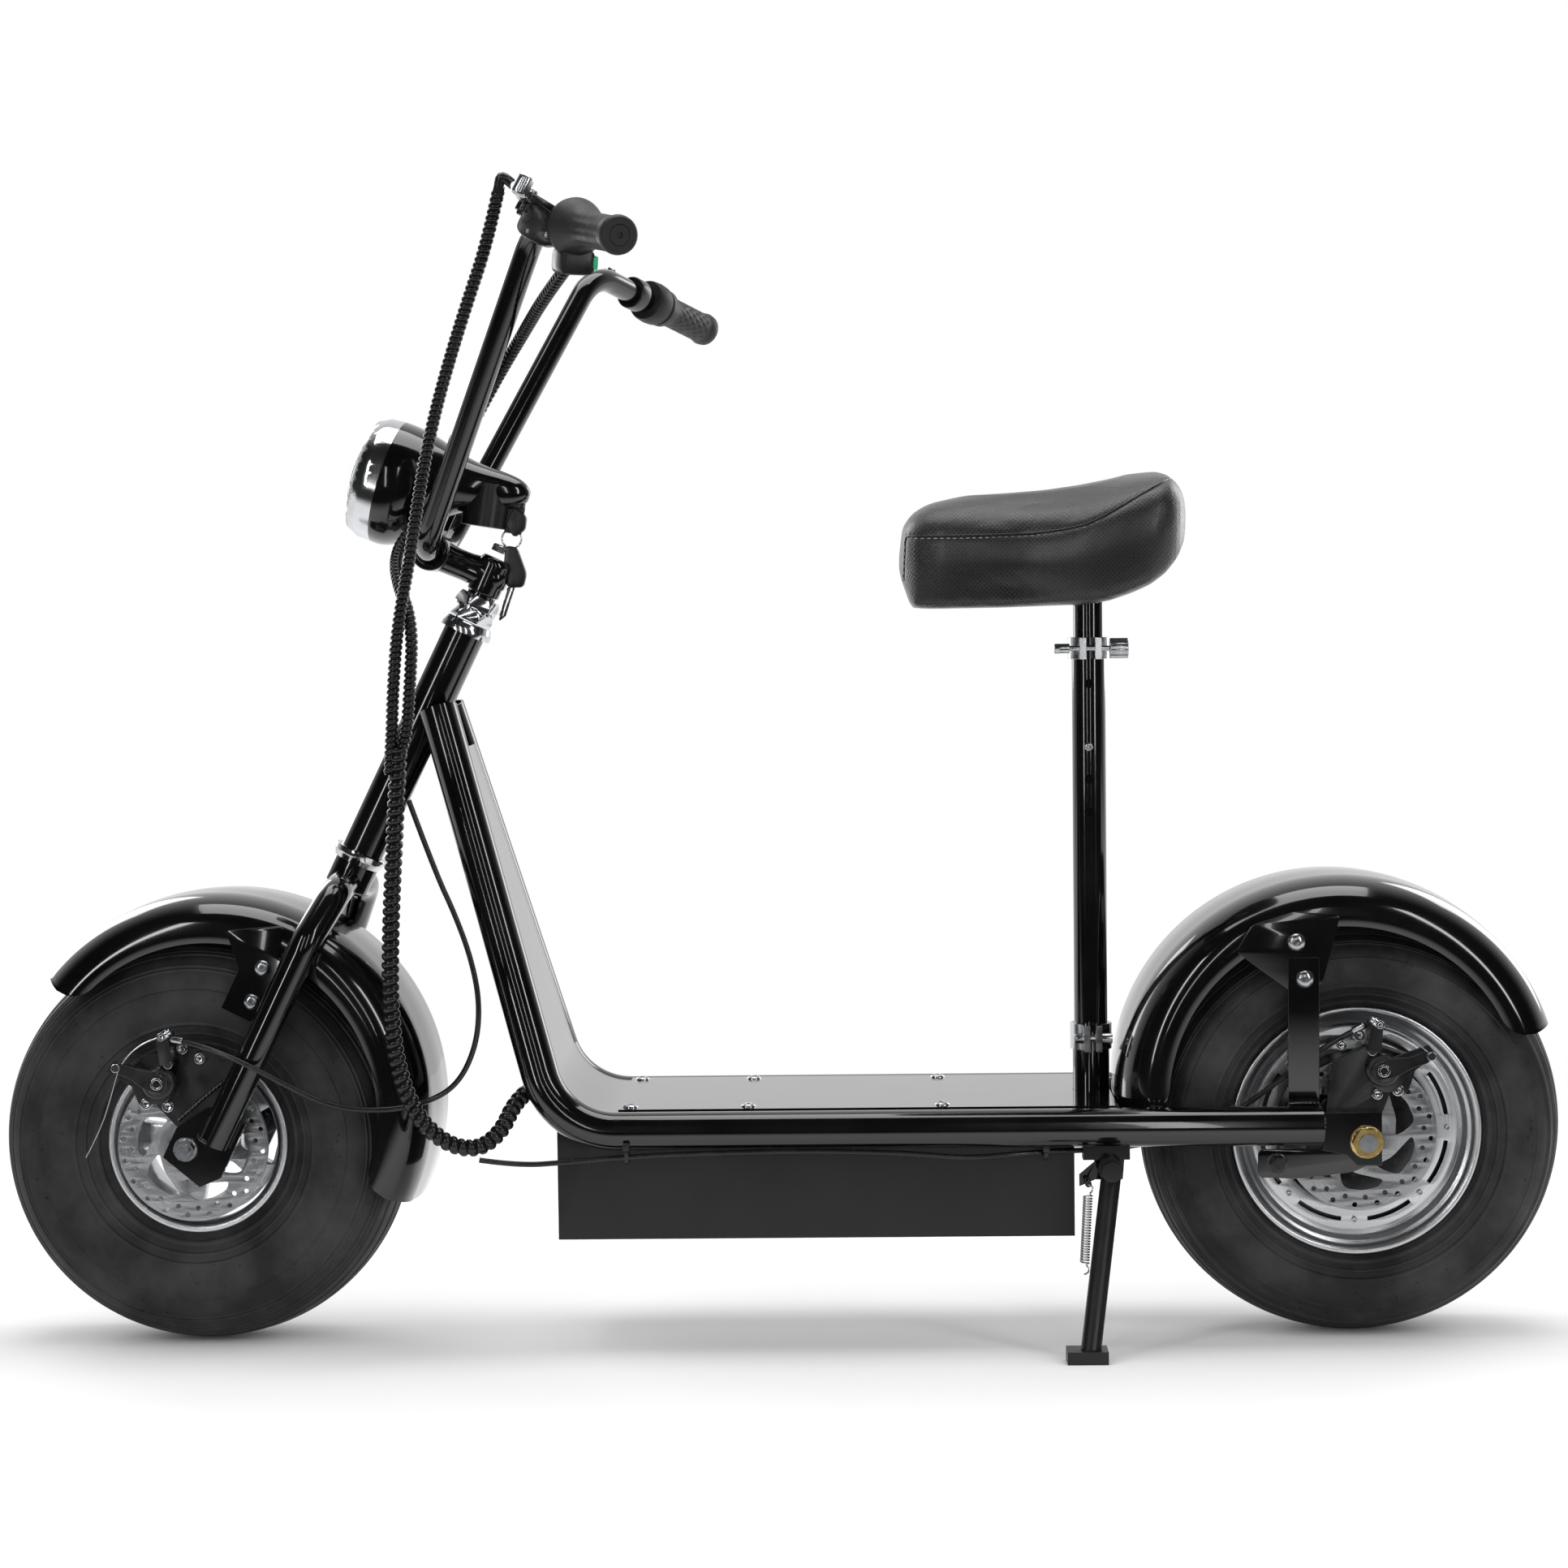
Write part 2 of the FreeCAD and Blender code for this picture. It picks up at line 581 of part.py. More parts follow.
# Brake calipers: a cast body over the disc edge, on a plate that the fork or dropout carries
def caliper(side):
    """Body round the disc edge with its slot, its cable arm and its cable stop on opposite sides"""
    gap = size("disc_wall") / 2 + 1.4
    body = Part.makeBox(52, 31, 34, Vector(-26, -20, -17))
    body = body.makeFillet(7, [e for e in body.Edges if abs(e.tangentAt(e.FirstParameter).y) > 0.9])
    barrel = Part.makeCylinder(15, 22, Vector(0, -38, -4), Vector(0, 1, 0))
    arm = flat([(side * 8, -10), (side * 5, 9), (-side * 27, 33), (-side * 36, 27), (-side * 9, -10)], -38, 6)
    stop = flat([(side * 12, 13), (side * 18, 38), (side * 29, 38), (side * 25, 13)], -41, 25)
    body = body.fuse([barrel, arm, stop])
    slot = Part.makeBox(120, 2 * gap, 60, Vector(-60, -gap, -60 + 8))
    return body.cut(slot).removeSplitter()


def caliper_at(name, wheel_spot, radial, turn, side, body, carrier):
    """Caliper turned about the wheel to its place at the disc edge, on its carrier plate"""
    shape = caliper(side)
    shape.translate(Vector(0, 0, radial))
    shape.rotate(Vector(0, 0, 0), Vector(0, 1, 0), turn)
    shape.translate(wheel_spot + Vector(0, -size("disc_offset"), 0))
    return node(shaped(name, shape.fuse(carrier).removeSplitter()), name, body)


rx, rz = rear_axle_spot.x, rear_axle_spot.z
rear_carrier = flat([(rx - 36, rz + 16), (rx + 12, rz + 16), (rx + 30, rz + 62), (rx + 10, rz + 92),
                     (rx - 30, rz + 70)], -size("tube_spread - 4"), 6)
caliper_at("rear_caliper", rear_axle_spot, 66, 18, -1, "frame", rear_carrier)

# Stand bracket, welded under the left rail, and its pivot bolt
bracket = Part.makeBox(42, 16, 16)
bracket.translate(Vector(size(STAND) - 24, -size("stand_side") - 2, size("tube_level") - 28))
lug = flat([(size(STAND) - 14, size("stand_level") + 12),
            (size(STAND) + 14, size("stand_level") + 12),
            (size(STAND) + 12, size("stand_level") - 12),
            (size(STAND) - 12, size("stand_level") - 12)], -size("stand_side") + 5, 7)
pin_end = Vector(size(STAND), -size("stand_side") - 27, size("stand_level"))
pin = Part.makeCylinder(5, 39, pin_end, Vector(0, 1, 0))
pin_head = Part.makeCylinder(9, 5, pin_end, Vector(0, 1, 0))
# tab with the peg that the stand spring hangs on
tab = flat([(size(STAND) - 27, size("stand_level") - 18),
            (size(STAND) - 8, size("stand_level") - 10),
            (size(STAND) - 8, size("stand_level") + 8),
            (size(STAND) - 27, size("stand_level") - 8)], -size("stand_side") + 5, 5)
peg = Part.makeCylinder(3, 18, Vector(size(STAND) - 20, -size("stand_side") - 10.5,
                                      size("stand_level") - 13.2), Vector(0, 1, 0))
stand_bracket = trimmed(bracket.fuse([lug, pin, pin_head, tab, peg]).removeSplitter(),
                        keep=(size(STAND), -size("stand_side"), size("stand_level")))
node(shaped("kickstand_bracket", stand_bracket), "kickstand_bracket", "frame")

# Steerer and crown of the fork, turned as one piece, with the legs welded into the crown
crown_low = "head_low - cup_height - seat_gap - crown_height"
crown = turned("fork_crown_turning", [
    ("steerer_radius - 2.5", crown_low), ("head_radius + 1", crown_low),
    ("head_radius + 1", "head_low - cup_height - seat_gap"),
    ("steerer_radius", "head_low - cup_height - seat_gap"),
    ("steerer_radius", "head_high + cup_height + 2 * nut_height + 6"),
    ("steerer_radius - 2.5", "head_high + cup_height + 2 * nut_height + 6")], steering_frame)
doc.recompute()


def leg_route(side):
    crown_level = size(crown_low) + 5
    lag = size("fork_lag")
    spread = size("fork_spread")
    return [tuple(on_axis(*spot)) for spot in (
        (0, side * 8, crown_level), (lag, side * spread * 0.68, crown_level - 6),
        (lag, side * spread, crown_level - 51), (lag, side * spread, 17))]


def fork_tab(side):
    """Plate across the leg end, reaching forward to the axle"""
    outline = [(-32, -16), (10, -26), (24, -10), (24, 44), (-14, 44), (-32, 14)]
    face = Part.Face(Part.makePolygon([Vector(x, 0, z) for x, z in outline + outline[:1]]))
    slab = face.extrude(Vector(0, 6, 0))
    inner = size("fork_spread - fork_tube_radius")
    slab.translate(Vector(0, inner if side > 0 else -inner - 6, 0))
    hole = Part.makeCylinder(size("axle_radius"), 300, Vector(size("-fork_offset"), -150, 0),
                             Vector(0, 1, 0))
    return slab.cut(hole)


def fender_strap(side):
    """Plate from the leg forward along the fender side, for its two bolts"""
    inner = size("fender_half_width") + 0.2
    strap = Part.makeBox(47, 3.8, 64)
    strap.translate(Vector(-42, inner if side > 0 else -inner - 3.8, 130))
    weld = Part.makeBox(12, 6, 58)
    weld.translate(Vector(-8, inner if side > 0 else -inner - 6, 133))
    return strap.fuse(weld).removeSplitter()


for side, word in ((-1, "left"), (1, "right")):
    name = f"fork_leg_{word}"
    leg = tube(name + "_whole", leg_route(side), "fork_tube_radius", 2, [30, 30])
    core = made("Part::Cylinder", name + "_tool", Radius="head_radius + 1", Height="crown_height + 20")
    core.Placement = at_steering(crown_low)
    bore = made("Part::Cylinder", name + "_bore", Radius="fork_tube_radius - 2", Height="220")
    bore.Placement = steering_frame.multiply(at("fork_lag", side * size("fork_spread"), 0))
    tab = shaped(name + "_tab", fork_tab(side), steering_frame)
    strap = shaped(name + "_strap", fender_strap(side), steering_frame)
    leg_whole = fused(name + "_welded", cut(name + "_trimmed", leg, core), tab,
                      cut(name + "_strap_cut", strap, bore))
    node(leg_whole, name, "steering")
node(crown, "fork_crown", "steering")

# Front axle with a flanged bolt at each end
front_axle = turned("front_axle", [
    (0, "-axle_half_length + 11"), ("axle_radius", "-axle_half_length + 11"),
    ("axle_radius", "axle_half_length - 11"), (0, "axle_half_length - 11")], front_wheel_frame)
node(front_axle, "front_axle", "steering")
front_nuts = nut_pair("front_axle_nuts", size("axle_radius"), 17, 11,
                      size("fork_spread - fork_tube_radius + 6"), front_wheel_frame)
node(front_nuts, "front_axle_nuts", "steering")

# Headset nuts, locked together on the thread of the steerer
nut_bits = []
level = size("head_high + cup_height")
for n in range(2):
    corner = size("nut_flats") / math.sqrt(3)
    hexagon = Part.makePolygon([
        Vector(corner * math.cos(math.radians(60 * k)), corner * math.sin(math.radians(60 * k)), 0)
        for k in range(7)])
    nut = Part.Face(hexagon).extrude(Vector(0, 0, size("nut_height")))
    nut = nut.common(Part.makeCone(corner + 2, corner - 2, size("nut_height") + 0.1))
    nut.rotate(Vector(0, 0, 0), Vector(0, 0, 1), 17 * n)
    nut.translate(Vector(0, 0, level + 0.3 + n * (size("nut_height") + 3)))
    nut_bits.append(nut)
washer = Part.makeCylinder(size("cup_radius") - 5, 3,
                           Vector(0, 0, level + 0.3 + size("nut_height")))
nut_shape = nut_bits[0].fuse([nut_bits[1], washer])
nut_shape = nut_shape.cut(Part.makeCylinder(size("steerer_radius"), 80, Vector(0, 0, level - 10)))
headset_nuts = shaped("headset_nuts", nut_shape.removeSplitter(), steering_frame)
node(headset_nuts, "headset_nuts", "steering")

# Stem: a cast arm with its quill in the steerer and the handlebar clamp at its front
quill = Part.makeCylinder(size("steerer_radius") - 2.5, 90, Vector(0, 0, size("stem_level") - 86))
knuckle = Part.makeCylinder(16, 35.5, Vector(0, 0, size("stem_level") - 15.5))
reach = size("stem_reach")
arm = Part.makeCylinder(13, reach, Vector(0, 0, size("stem_level")), Vector(-1, 0, 0))
half_clamp = size("stem_clamp_width / 2")
clamp = Part.makeCylinder(size("bar_radius") + 7, 2 * half_clamp,
                          Vector(-reach, -half_clamp, size("stem_level")), Vector(0, 1, 0))
bolt = Part.makeCylinder(6.5, 8, Vector(-3, 0, size("stem_level") + 18))
stem_shape = quill.fuse([knuckle, arm, clamp, bolt])
bar_bore = Part.makeCylinder(size("bar_radius"), 60, Vector(-reach, -30, size("stem_level")),
                             Vector(0, 1, 0))
stem_shape = stem_shape.cut(bar_bore).removeSplitter()
stem = shaped("stem", stem_shape, steering_frame)
node(stem, "stem", "steering")

# Handlebar: one bent tube, up from the clamp, out and back to the grips
bar_half = [
    (-reach, size("bar_low_spread"), size("stem_level")),
    (-size("bar_high_reach"), size("bar_high_spread"), size("bar_high_level")),
    (size("bar_end_lag"), size("bar_end_spread"), size("bar_end_level"))]
bar_points = [mirrored([p])[0] for p in reversed(bar_half)] + bar_half
bend = size("bar_bend")
bar = tube("handlebar", bar_points, "bar_radius", "bar_wall", [bend] * 4)
bar.Placement = steering_frame
node(bar, "handlebar", "steering")


def grip_frame(side):
    """Frame at the handlebar end, its z axis along the grip and inwards"""
    end, inner = Vector(*bar_half[2]), Vector(*bar_half[1])
    inward = (inner - end).normalize()
    if side < 0:
        end, inward = Vector(end.x, -end.y, end.z), Vector(inward.x, -inward.y, inward.z)
    return steering_frame.multiply(Placement(end, Rotation(Vector(0, 0, 1), inward)))


grip_items = []
for side, word in ((-1, "left"), (1, "right")):
    grip = turned(f"grip_{word}", [
        (0, "-2.5"), ("grip_radius - 1", "-2.5"), ("grip_radius", 2), ("grip_radius - 2", 30),
        ("grip_radius", "grip_length - 26"), ("grip_flange - 3", "grip_length - 14"),
        ("grip_flange", "grip_length - 8"), ("grip_flange", "grip_length"),
        ("bar_radius", "grip_length"), ("bar_radius", 0), (0, 0)])
    grip.Placement = grip_frame(side)
    grip_items.append(grip)
node(together("grips", *grip_items), "grips", "steering")


# Brake levers: a clamp on the bar, its bracket and the blade in front of the grip
def lever_shape():
    """In the frame of the bar end: clamp ring, bracket and the blade with its ball end"""
    base = size("grip_length") + 13
    ring = Part.makeCylinder(size("bar_radius") + 5, 15, Vector(0, 0, base))
    block = Part.makeBox(30, 16, 15, Vector(10, -8, base))
    blade = flat([(34, base + 15), (44, base + 15), (50, base - 2), (67, base - 28), (79, base - 75),
                  (71, base - 77), (59, base - 32), (42, base - 8), (34, base)], -3, 6)
    ball = Part.makeCylinder(6, 8, Vector(75, -4, base - 76), Vector(0, 1, 0))
    shape = ring.fuse([block, blade, ball])
    return shape.cut(Part.makeCylinder(size("bar_radius"), 40, Vector(0, 0, base - 10))).removeSplitter()


lever_bits = []
for side in (1, -1):
    place = grip_frame(side)
    local = lever_shape()
    # the blade stands ahead of the grip and above it
    forward = place.Rotation.inverted().multVec(raked.multVec(Vector(-1, 0, 0.25)))
    angle = math.degrees(math.atan2(forward.y, forward.x))
    local.rotate(Vector(0, 0, 0), Vector(0, 0, 1), angle)
    local.Placement = place.multiply(local.Placement)
    lever_bits.append(local)
# cable adjuster of the left lever, down to the top of its wrapped cable
outlet = Rotation(Vector(0, 0, 1), angle).multVec(Vector(34, 0, size("grip_length") + 20))
elbow = [place.multVec(outlet)] + [Vector(*spot) for spot in
                                    kept_along([(-201, -272, 1036.5), (-205, -267, 1023.2)])]
pieces = [Part.makeSphere(4.5, elbow[1])]
for start, end in zip(elbow, elbow[1:]):
    pieces.append(Part.makeCylinder(4.5, (end - start).Length, start, end - start))
lever_bits[1] = lever_bits[1].fuse(pieces).removeSplitter()
node(shaped("brake_levers", Part.Compound(lever_bits)), "brake_levers", "steering")

# Switch box under the left lever, on its own ring
base = size("grip_length") + 0.5
ring = Part.makeCylinder(size("bar_radius") + 4, 11, Vector(0, 0, base))
pod = Part.makeBox(18, 30, 28, Vector(25.6, -15, base - 17))
pod = pod.makeFillet(4, pod.Edges)
neck = Part.makeBox(22, 18, 11, Vector(10, -9, base))
switch = ring.fuse([pod, neck]).cut(Part.makeCylinder(size("bar_radius"), 60, Vector(0, 0, base - 20)))
place = grip_frame(-1)
downward = place.Rotation.inverted().multVec(Vector(0, 0, -1))
switch.rotate(Vector(0, 0, 0), Vector(0, 0, 1), math.degrees(math.atan2(downward.y, downward.x)))
switch.Placement = place.multiply(switch.Placement)
node(shaped("switch_box", switch.removeSplitter()), "switch_box", "steering")


# Headlight: a drawn bullet shell, its chromed bezel, its lens and the bracket on the stem
# share of the length, radius, rise of the section centre
LAMP_SECTIONS = [(0, 57.5, 0), (0.2, 52.5, 2), (0.38, 38, 10), (0.54, 26, 17), (0.78, 18.5, 22.5),
                 (0.93, 13, 25), (1, 5, 26)]
lamp_spot = Vector(-size("lamp_reach"), 0, size("lamp_level"))
lamp_frame = steering_frame.multiply(Placement(lamp_spot, Rotation(Vector(0, 1, 0), 90 - 7.7)))


def bullet(inset):
    """Drawn shell as a solid: round sections whose centres rise towards the tail"""
    rings = []
    for share, radius, rise in LAMP_SECTIONS:
        depth = share * size("lamp_length") - (inset if share == 1 else 0)
        circle = Part.makeCircle((radius - inset) * size("lamp_radius") / 57.5,
                                 Vector(-rise, 0, depth), Vector(0, 0, 1))
        rings.append(Part.Wire(circle))
    return Part.makeLoft(rings, True)


hollow = bullet(0).cut(bullet(size("lamp_wall")))
shell = shaped("headlight_shell", hollow, lamp_frame)
node(shell, "headlight_shell", "steering")
bezel = turned("headlight_bezel", [
    ("lamp_radius - 6", -0.1), ("lamp_radius", -0.1), ("lamp_radius - 1", -14),
    ("lamp_radius - 6", -24), ("lamp_radius - 10", -24), ("lamp_radius - 10", -20)], lamp_frame)
node(bezel, "headlight_bezel", "steering")
lens = turned("headlight_lens", [
    (0, -22), ("lamp_radius - 10", -22), ("lamp_radius - 10", -24), ("lamp_radius - 16", -29),
    (26, -33), (0, -35)], lamp_frame)
node(lens, "headlight_lens", "steering")

# Lamp bracket: two cheeks from the stem clamp up to the shell
doc.recompute()
cheeks = []
for side in (-1, 1):
    cheek = Part.makeBox(14, 4, 56)
    cheek.translate(Vector(-reach - 12, side * 15 - 2, size("stem_level") + 18.2))
    cheeks.append(cheek)
cross = Part.makeBox(14, 34, 4, Vector(-reach - 12, -17, size("stem_level") + 18.2))
bracket_shape = cheeks[0].fuse([cheeks[1], cross])
bracket_shape = placed(bracket_shape, steering_frame)
bracket_shape = bracket_shape.cut(placed(bullet(0), lamp_frame))
bracket_shape = max(bracket_shape.Solids, key=lambda piece: piece.Volume)
node(shaped("headlight_bracket", bracket_shape), "headlight_bracket", "steering")

# Key switch under the tail of the shell, its key, the ring and the spare key
boss = Part.makeCylinder(21, 40)
barrel = Part.makeCylinder(8, 40, Vector(28, 0, 22))
key = Part.makeBox(16, 3.2, 25, Vector(20, -1.6, -2.5))
link = Part.makeBox(20, 6, 6, Vector(8, -3, 20))
lock = boss.fuse([barrel, key, link])
lock_place = steering_frame.multiply(at(-25, 0, size("lamp_level"), (0, 1, 0), -17))
lock = placed(lock, lock_place)
lock = lock.cut(placed(bullet(0), lamp_frame))
lock = max(lock.Solids, key=lambda piece: piece.Volume)
node(shaped("ignition_lock", lock), "ignition_lock", "steering")

# Front fender, bolted to the two straps of the fork legs
front_guard_spot = front_axle_spot + Vector(18, 0, 31)
front_guard = fender(size("front_fender_radius"), -26, 141)
front_guard.translate(front_guard_spot)
node(shaped("front_fender", front_guard), "front_fender", "steering")
fx, fz = front_axle_spot.x, front_axle_spot.z
front_carrier = flat([(fx - 38, fz + 50), (fx - 10, fz + 20), (fx + 20, fz + 10), (fx + 52, fz + 50),
                      (fx + 54, fz + 82), (fx + 4, fz + 92), (fx - 44, fz + 84)], -size("fork_spread - fork_tube_radius"), 5)
caliper_at("front_caliper", front_axle_spot, 66, -22, 1, "steering", front_carrier)


# Wheels: tyre, rim and disc on each axle
def tyre(name, radius, rim, frame, body):
    """Carcass with a crown arc, full shoulders and open beads"""
    wall, half = size("tyre_wall"), size("tyre_half_width")
    bead = size("rim_half_width") - 4
    loops = []
    for inset in (0, wall):
        r, w = size(radius) - inset, half - inset
        crown = size("crown_radius") - inset
        flat_half = 40 - inset * 0.5
        drop = crown - math.sqrt(crown ** 2 - flat_half ** 2)
        low = size(rim) + 3
        mid = (size(radius) + low) / 2
        loops.append([
            Vector(r, 0, 0), Vector(r - crown + math.sqrt(crown ** 2 - 400), 0, 20),
            Vector(r - drop, 0, flat_half),
            Vector(r - drop - 12, 0, flat_half + (w - flat_half) * 0.66), Vector(mid, 0, w),
            Vector((mid + low) / 2 - 2, 0, w - 4), Vector(low - 3, 0, bead - inset)])
    edges = []
    for a in loops:
        for sign in (1, -1):
            p = [Vector(v.x, 0, sign * v.z) for v in a]
            edges += [Part.Arc(p[0], p[1], p[2]), Part.Arc(p[2], p[3], p[4]),
                      Part.Arc(p[4], p[5], p[6])]
    for sign in (1, -1):
        edges.append(Part.LineSegment(*[Vector(a[6].x, 0, sign * a[6].z) for a in loops]))
    wire = Part.Wire(Part.__sortEdges__([edge.toShape() for edge in edges]))
    solid = Part.Face(wire).revolve(Vector(0, 0, 0), Vector(0, 0, 1), 360)
    return node(shaped(name, solid, frame), name, body)


tyre("front_tyre", "front_radius", "front_rim_radius", front_wheel_frame, "front_wheel")
tyre("rear_tyre", "rear_radius", "rear_rim_radius", rear_wheel_frame, "rear_wheel")

rim_edge = "rim_half_width - 4"
for name, radius, bore, hub, frame, body in (
        ("front_rim", "front_rim_radius", "axle_radius", 24, front_wheel_frame, "front_wheel"),
        ("rear_rim", "rear_rim_radius", "rear_axle_radius", 80, rear_wheel_frame, "rear_wheel")):
    shaft = f"{bore} + bearing_gap"
    rim = turned(name, [
        (shaft, "disc_wall / 2 - disc_offset"), (22, "disc_wall / 2 - disc_offset"), (22, "-38"), (f"{radius} - 12", "-30"),
        (f"{radius} - 8", f"-({rim_edge})"), (radius, f"-({rim_edge})"), (radius, f"4 - ({rim_edge})"),
        (f"{radius} - 3", f"6 - ({rim_edge})"), (f"{radius} - 3", f"({rim_edge}) - 6"),
        (radius, f"({rim_edge}) - 4"), (radius, rim_edge), (f"{radius} - 8", rim_edge),
        (f"{radius} - 12", 30), (22, 38), (22, "disc_offset - 3"), (shaft, "disc_offset - 3")], frame)
    node(rim, name, body)

# Brake discs on the left of each hub
for name, bore, frame, body in (("front_disc", 15, front_wheel_frame, "front_wheel"),
                                ("rear_disc", 15, rear_wheel_frame, "rear_wheel")):
    disc = turned(name, [
        (bore, "-disc_offset - disc_wall / 2"), ("disc_radius", "-disc_offset - disc_wall / 2"),
        ("disc_radius", "disc_wall / 2 - disc_offset"), (bore, "disc_wall / 2 - disc_offset")], frame)
    node(disc, name, body)

# Stand leg with its fork head, splayed to the left, its foot cut level with the floor
lean = size("lean_angle")
lift = size("crown_radius") * (1 - math.cos(math.radians(lean)))
pivot = Vector(size(STAND), -size("stand_side"), size("stand_level"))
foot_level = math.tan(math.radians(lean)) * size("stand_foot_side")
foot = Vector(size(STAND + " - stand_foot_lead"), -size("stand_foot_side"), foot_level)
head_block = Part.makeCylinder(11, 12, pivot + Vector(0, -15.5, 0), Vector(0, 1, 0))
run = foot - (pivot + Vector(0, -11, -8))
leg = Part.makeCylinder(size("stand_radius"), run.Length + 10, pivot + Vector(0, -11, -8), run)
shoe = Part.makeBox(36, 26, 40, foot + Vector(-20, -13, -28))
stand_shape = leg.fuse([head_block, shoe])
stand_shape = stand_shape.cut(Part.makeCylinder(5.05, 60, pivot + Vector(0, -40, 0), Vector(0, 1, 0)))
floor_tool = Part.makeBox(2000, 2000, 200, Vector(-1000, -1000, -200))
floor_tool.rotate(Vector(0, 0, 0), Vector(1, 0, 0), -lean)
floor_tool.translate(Vector(0, 0, -lift / math.cos(math.radians(lean))))
stand_shape = stand_shape.cut(floor_tool).removeSplitter()
node(shaped("kickstand_leg", stand_shape), "kickstand_leg", "stand")
spring = Part.makeCylinder(4.5, 75, pivot + Vector(-20.3, -13.2, -15.8), Vector(-6, -27, -68))
node(shaped("kickstand_spring", spring), "kickstand_spring", "stand")

# Seat post with the flange under the saddle
post = turned("seat_post", [
    ("post_radius - post_wall", "post_low"), ("post_radius", "post_low"),
    ("post_radius", "saddle_bottom - 2"), ("post_radius + 20", "saddle_bottom - 2"),
    ("post_radius + 20", "saddle_bottom + 2"), ("post_radius - post_wall", "saddle_bottom + 2")],
    at(POST, 0, 0))
node(post, "seat_post", "seat")


# Saddle: a moulded pan and the padded cushion over it
def saddle():
    """Side outline of lines and arcs, rounded in plan by a second outline"""
    x0, z0 = size(POST + " - saddle_lead"), size("saddle_bottom")
    length, height = size("saddle_length"), size("saddle_height")
    side = [(0.03, 0.0), (0.84, 0.0), (0.97, 0.18), (1.0, 0.6), (0.955, 0.98), (0.86, 0.95),
            (0.5, 0.72), (0.2, 0.7), (0.06, 0.6), (0.0, 0.4)]
    p = [Vector(x0 + u * length, 0, z0 + v * height) for u, v in side]
    edges = [
        Part.LineSegment(p[0], p[1]), Part.Arc(p[1], p[2], p[3]), Part.LineSegment(p[3], p[4]),
        Part.LineSegment(p[4], p[5]), Part.Arc(p[5], p[6], p[7]), Part.LineSegment(p[7], p[8]),
        Part.LineSegment(p[8], p[9]), Part.LineSegment(p[9], p[0])]
    face = Part.Face(Part.Wire([edge.toShape() for edge in edges]))
    half = size("saddle_half_width")
    face.translate(Vector(0, -half, 0))
    block = face.extrude(Vector(0, 2 * half, 0))
    plan = [(0.0, 0.0), (0.02, 0.42), (0.14, 0.62), (0.42, 0.74), (0.66, 0.96), (0.8, 1.0),
            (0.93, 0.92), (0.985, 0.55), (1.0, 0.0)]
    right = [Vector(x0 + u * length, v * half, z0 - 20) for u, v in plan]
    rims = []
    for sign in (1, -1):
        q = [Vector(v.x, sign * v.y, v.z) for v in right]
        rims += [Part.Arc(q[0], q[1], q[2]), Part.Arc(q[2], q[3], q[4]), Part.Arc(q[4], q[5], q[6]),
                 Part.Arc(q[6], q[7], q[8])]
    outline = Part.Wire(Part.__sortEdges__([rim.toShape() for rim in rims]))
    column = Part.Face(outline).extrude(Vector(0, 0, height + 60))
    return block.common(column)


cushion = saddle()
pan_room = Part.makeBox(size("saddle_length") - 70, 110, 10,
                        Vector(size(POST + " - saddle_lead") + 30, -55, size("saddle_bottom") - 2))
cushion = cushion.cut(pan_room)
node(shaped("saddle_cushion", cushion), "saddle_cushion", "seat")
pan = Part.makeBox(size("saddle_length") - 72, 108, 5,
                   Vector(size(POST + " - saddle_lead") + 31, -54, size("saddle_bottom") + 2))
node(shaped("saddle_base", pan), "saddle_base", "seat")

# Wrapped cables and brake cables, held at both ends
doc.recompute()
CABLES = [
    # name, body, radius, route as x, y, z
    ("lever_harness", "steering", "harness_radius", [
        (-205, -267, 1023), (-218, -250, 982), (-240, -227, 934), (-260, -204, 888),
        (-279, -182, 838), (-294, -164, 783), (-307, -150, 720), (-321, -139, 662),
        (-327, -133, 605), (-329, -130, 569)]),
    ("switch_harness", "steering", "harness_radius", [
        (-151.7, -249.5, 959), (-174, -212, 942), (-204, -139, 919), (-231, -98, 890),
        (-248, -79, 867), (-266, -69, 839), (-287, -55, 796), (-304, -47.5, 771), (-325, -47, 751),
        (-336, -64, 729), (-328, -103, 703), (-308, -134, 665), (-312, -132, 606),
        (-315.5, -130, 567)]),
    ("loom", "frame", "loom_radius", [
        (-329, -131, 557), (-333, -130, 500), (-337, -130, 442), (-340, -131, 384),
        (-341, -132, 326), (-337, -132, 275), (-322, -131, 229), (-295, -129, 201),
        (-266, -124, 194), (-246, -111, 208), (-236, -92, 231), (-221, -70, 243), (-198.4, -55, 241),
        (-182.4, -46, 224), (-178.4, -43, 206)]),
    ("front_brake_cable", "steering", "cable_radius", [
        (-316, -124.5, 507), (-293, -123, 442), (-276, -124, 405), (-262, -123, 365),
        (-255, -122, 325), (-260, -116, 285), (-278, -111, 250), (-308, -108, 233),
        (-349, -116, 227), (-393, -126, 233), (-437, -127, 256), (-477, -125, 276),
        (-512, -118, 288), (-540, -109.4, 292)]),
    ("rear_brake_cable", "frame", "cable_radius", [
        (-264, -131, 186.5), (-229, -125, 180), (-185, -120, 182), (-134, -118.5, 185.7),
        (-83, -118, 188), (-32, -118, 189.3), (19, -118, 189.8), (70, -118, 189.2),
        (121, -118, 187.2),
        (172, -117, 182), (215, -111, 184), (245, -98, 184), (272, -93, 184), (303, -92, 185),
        (340, -86, 189), (380, -81.5, 198), (415, -81.5, 214), (446, -81.5, 236),
        (480, -81, 262), (508, -86, 282), (532.6, -95, 296.3)]),
]
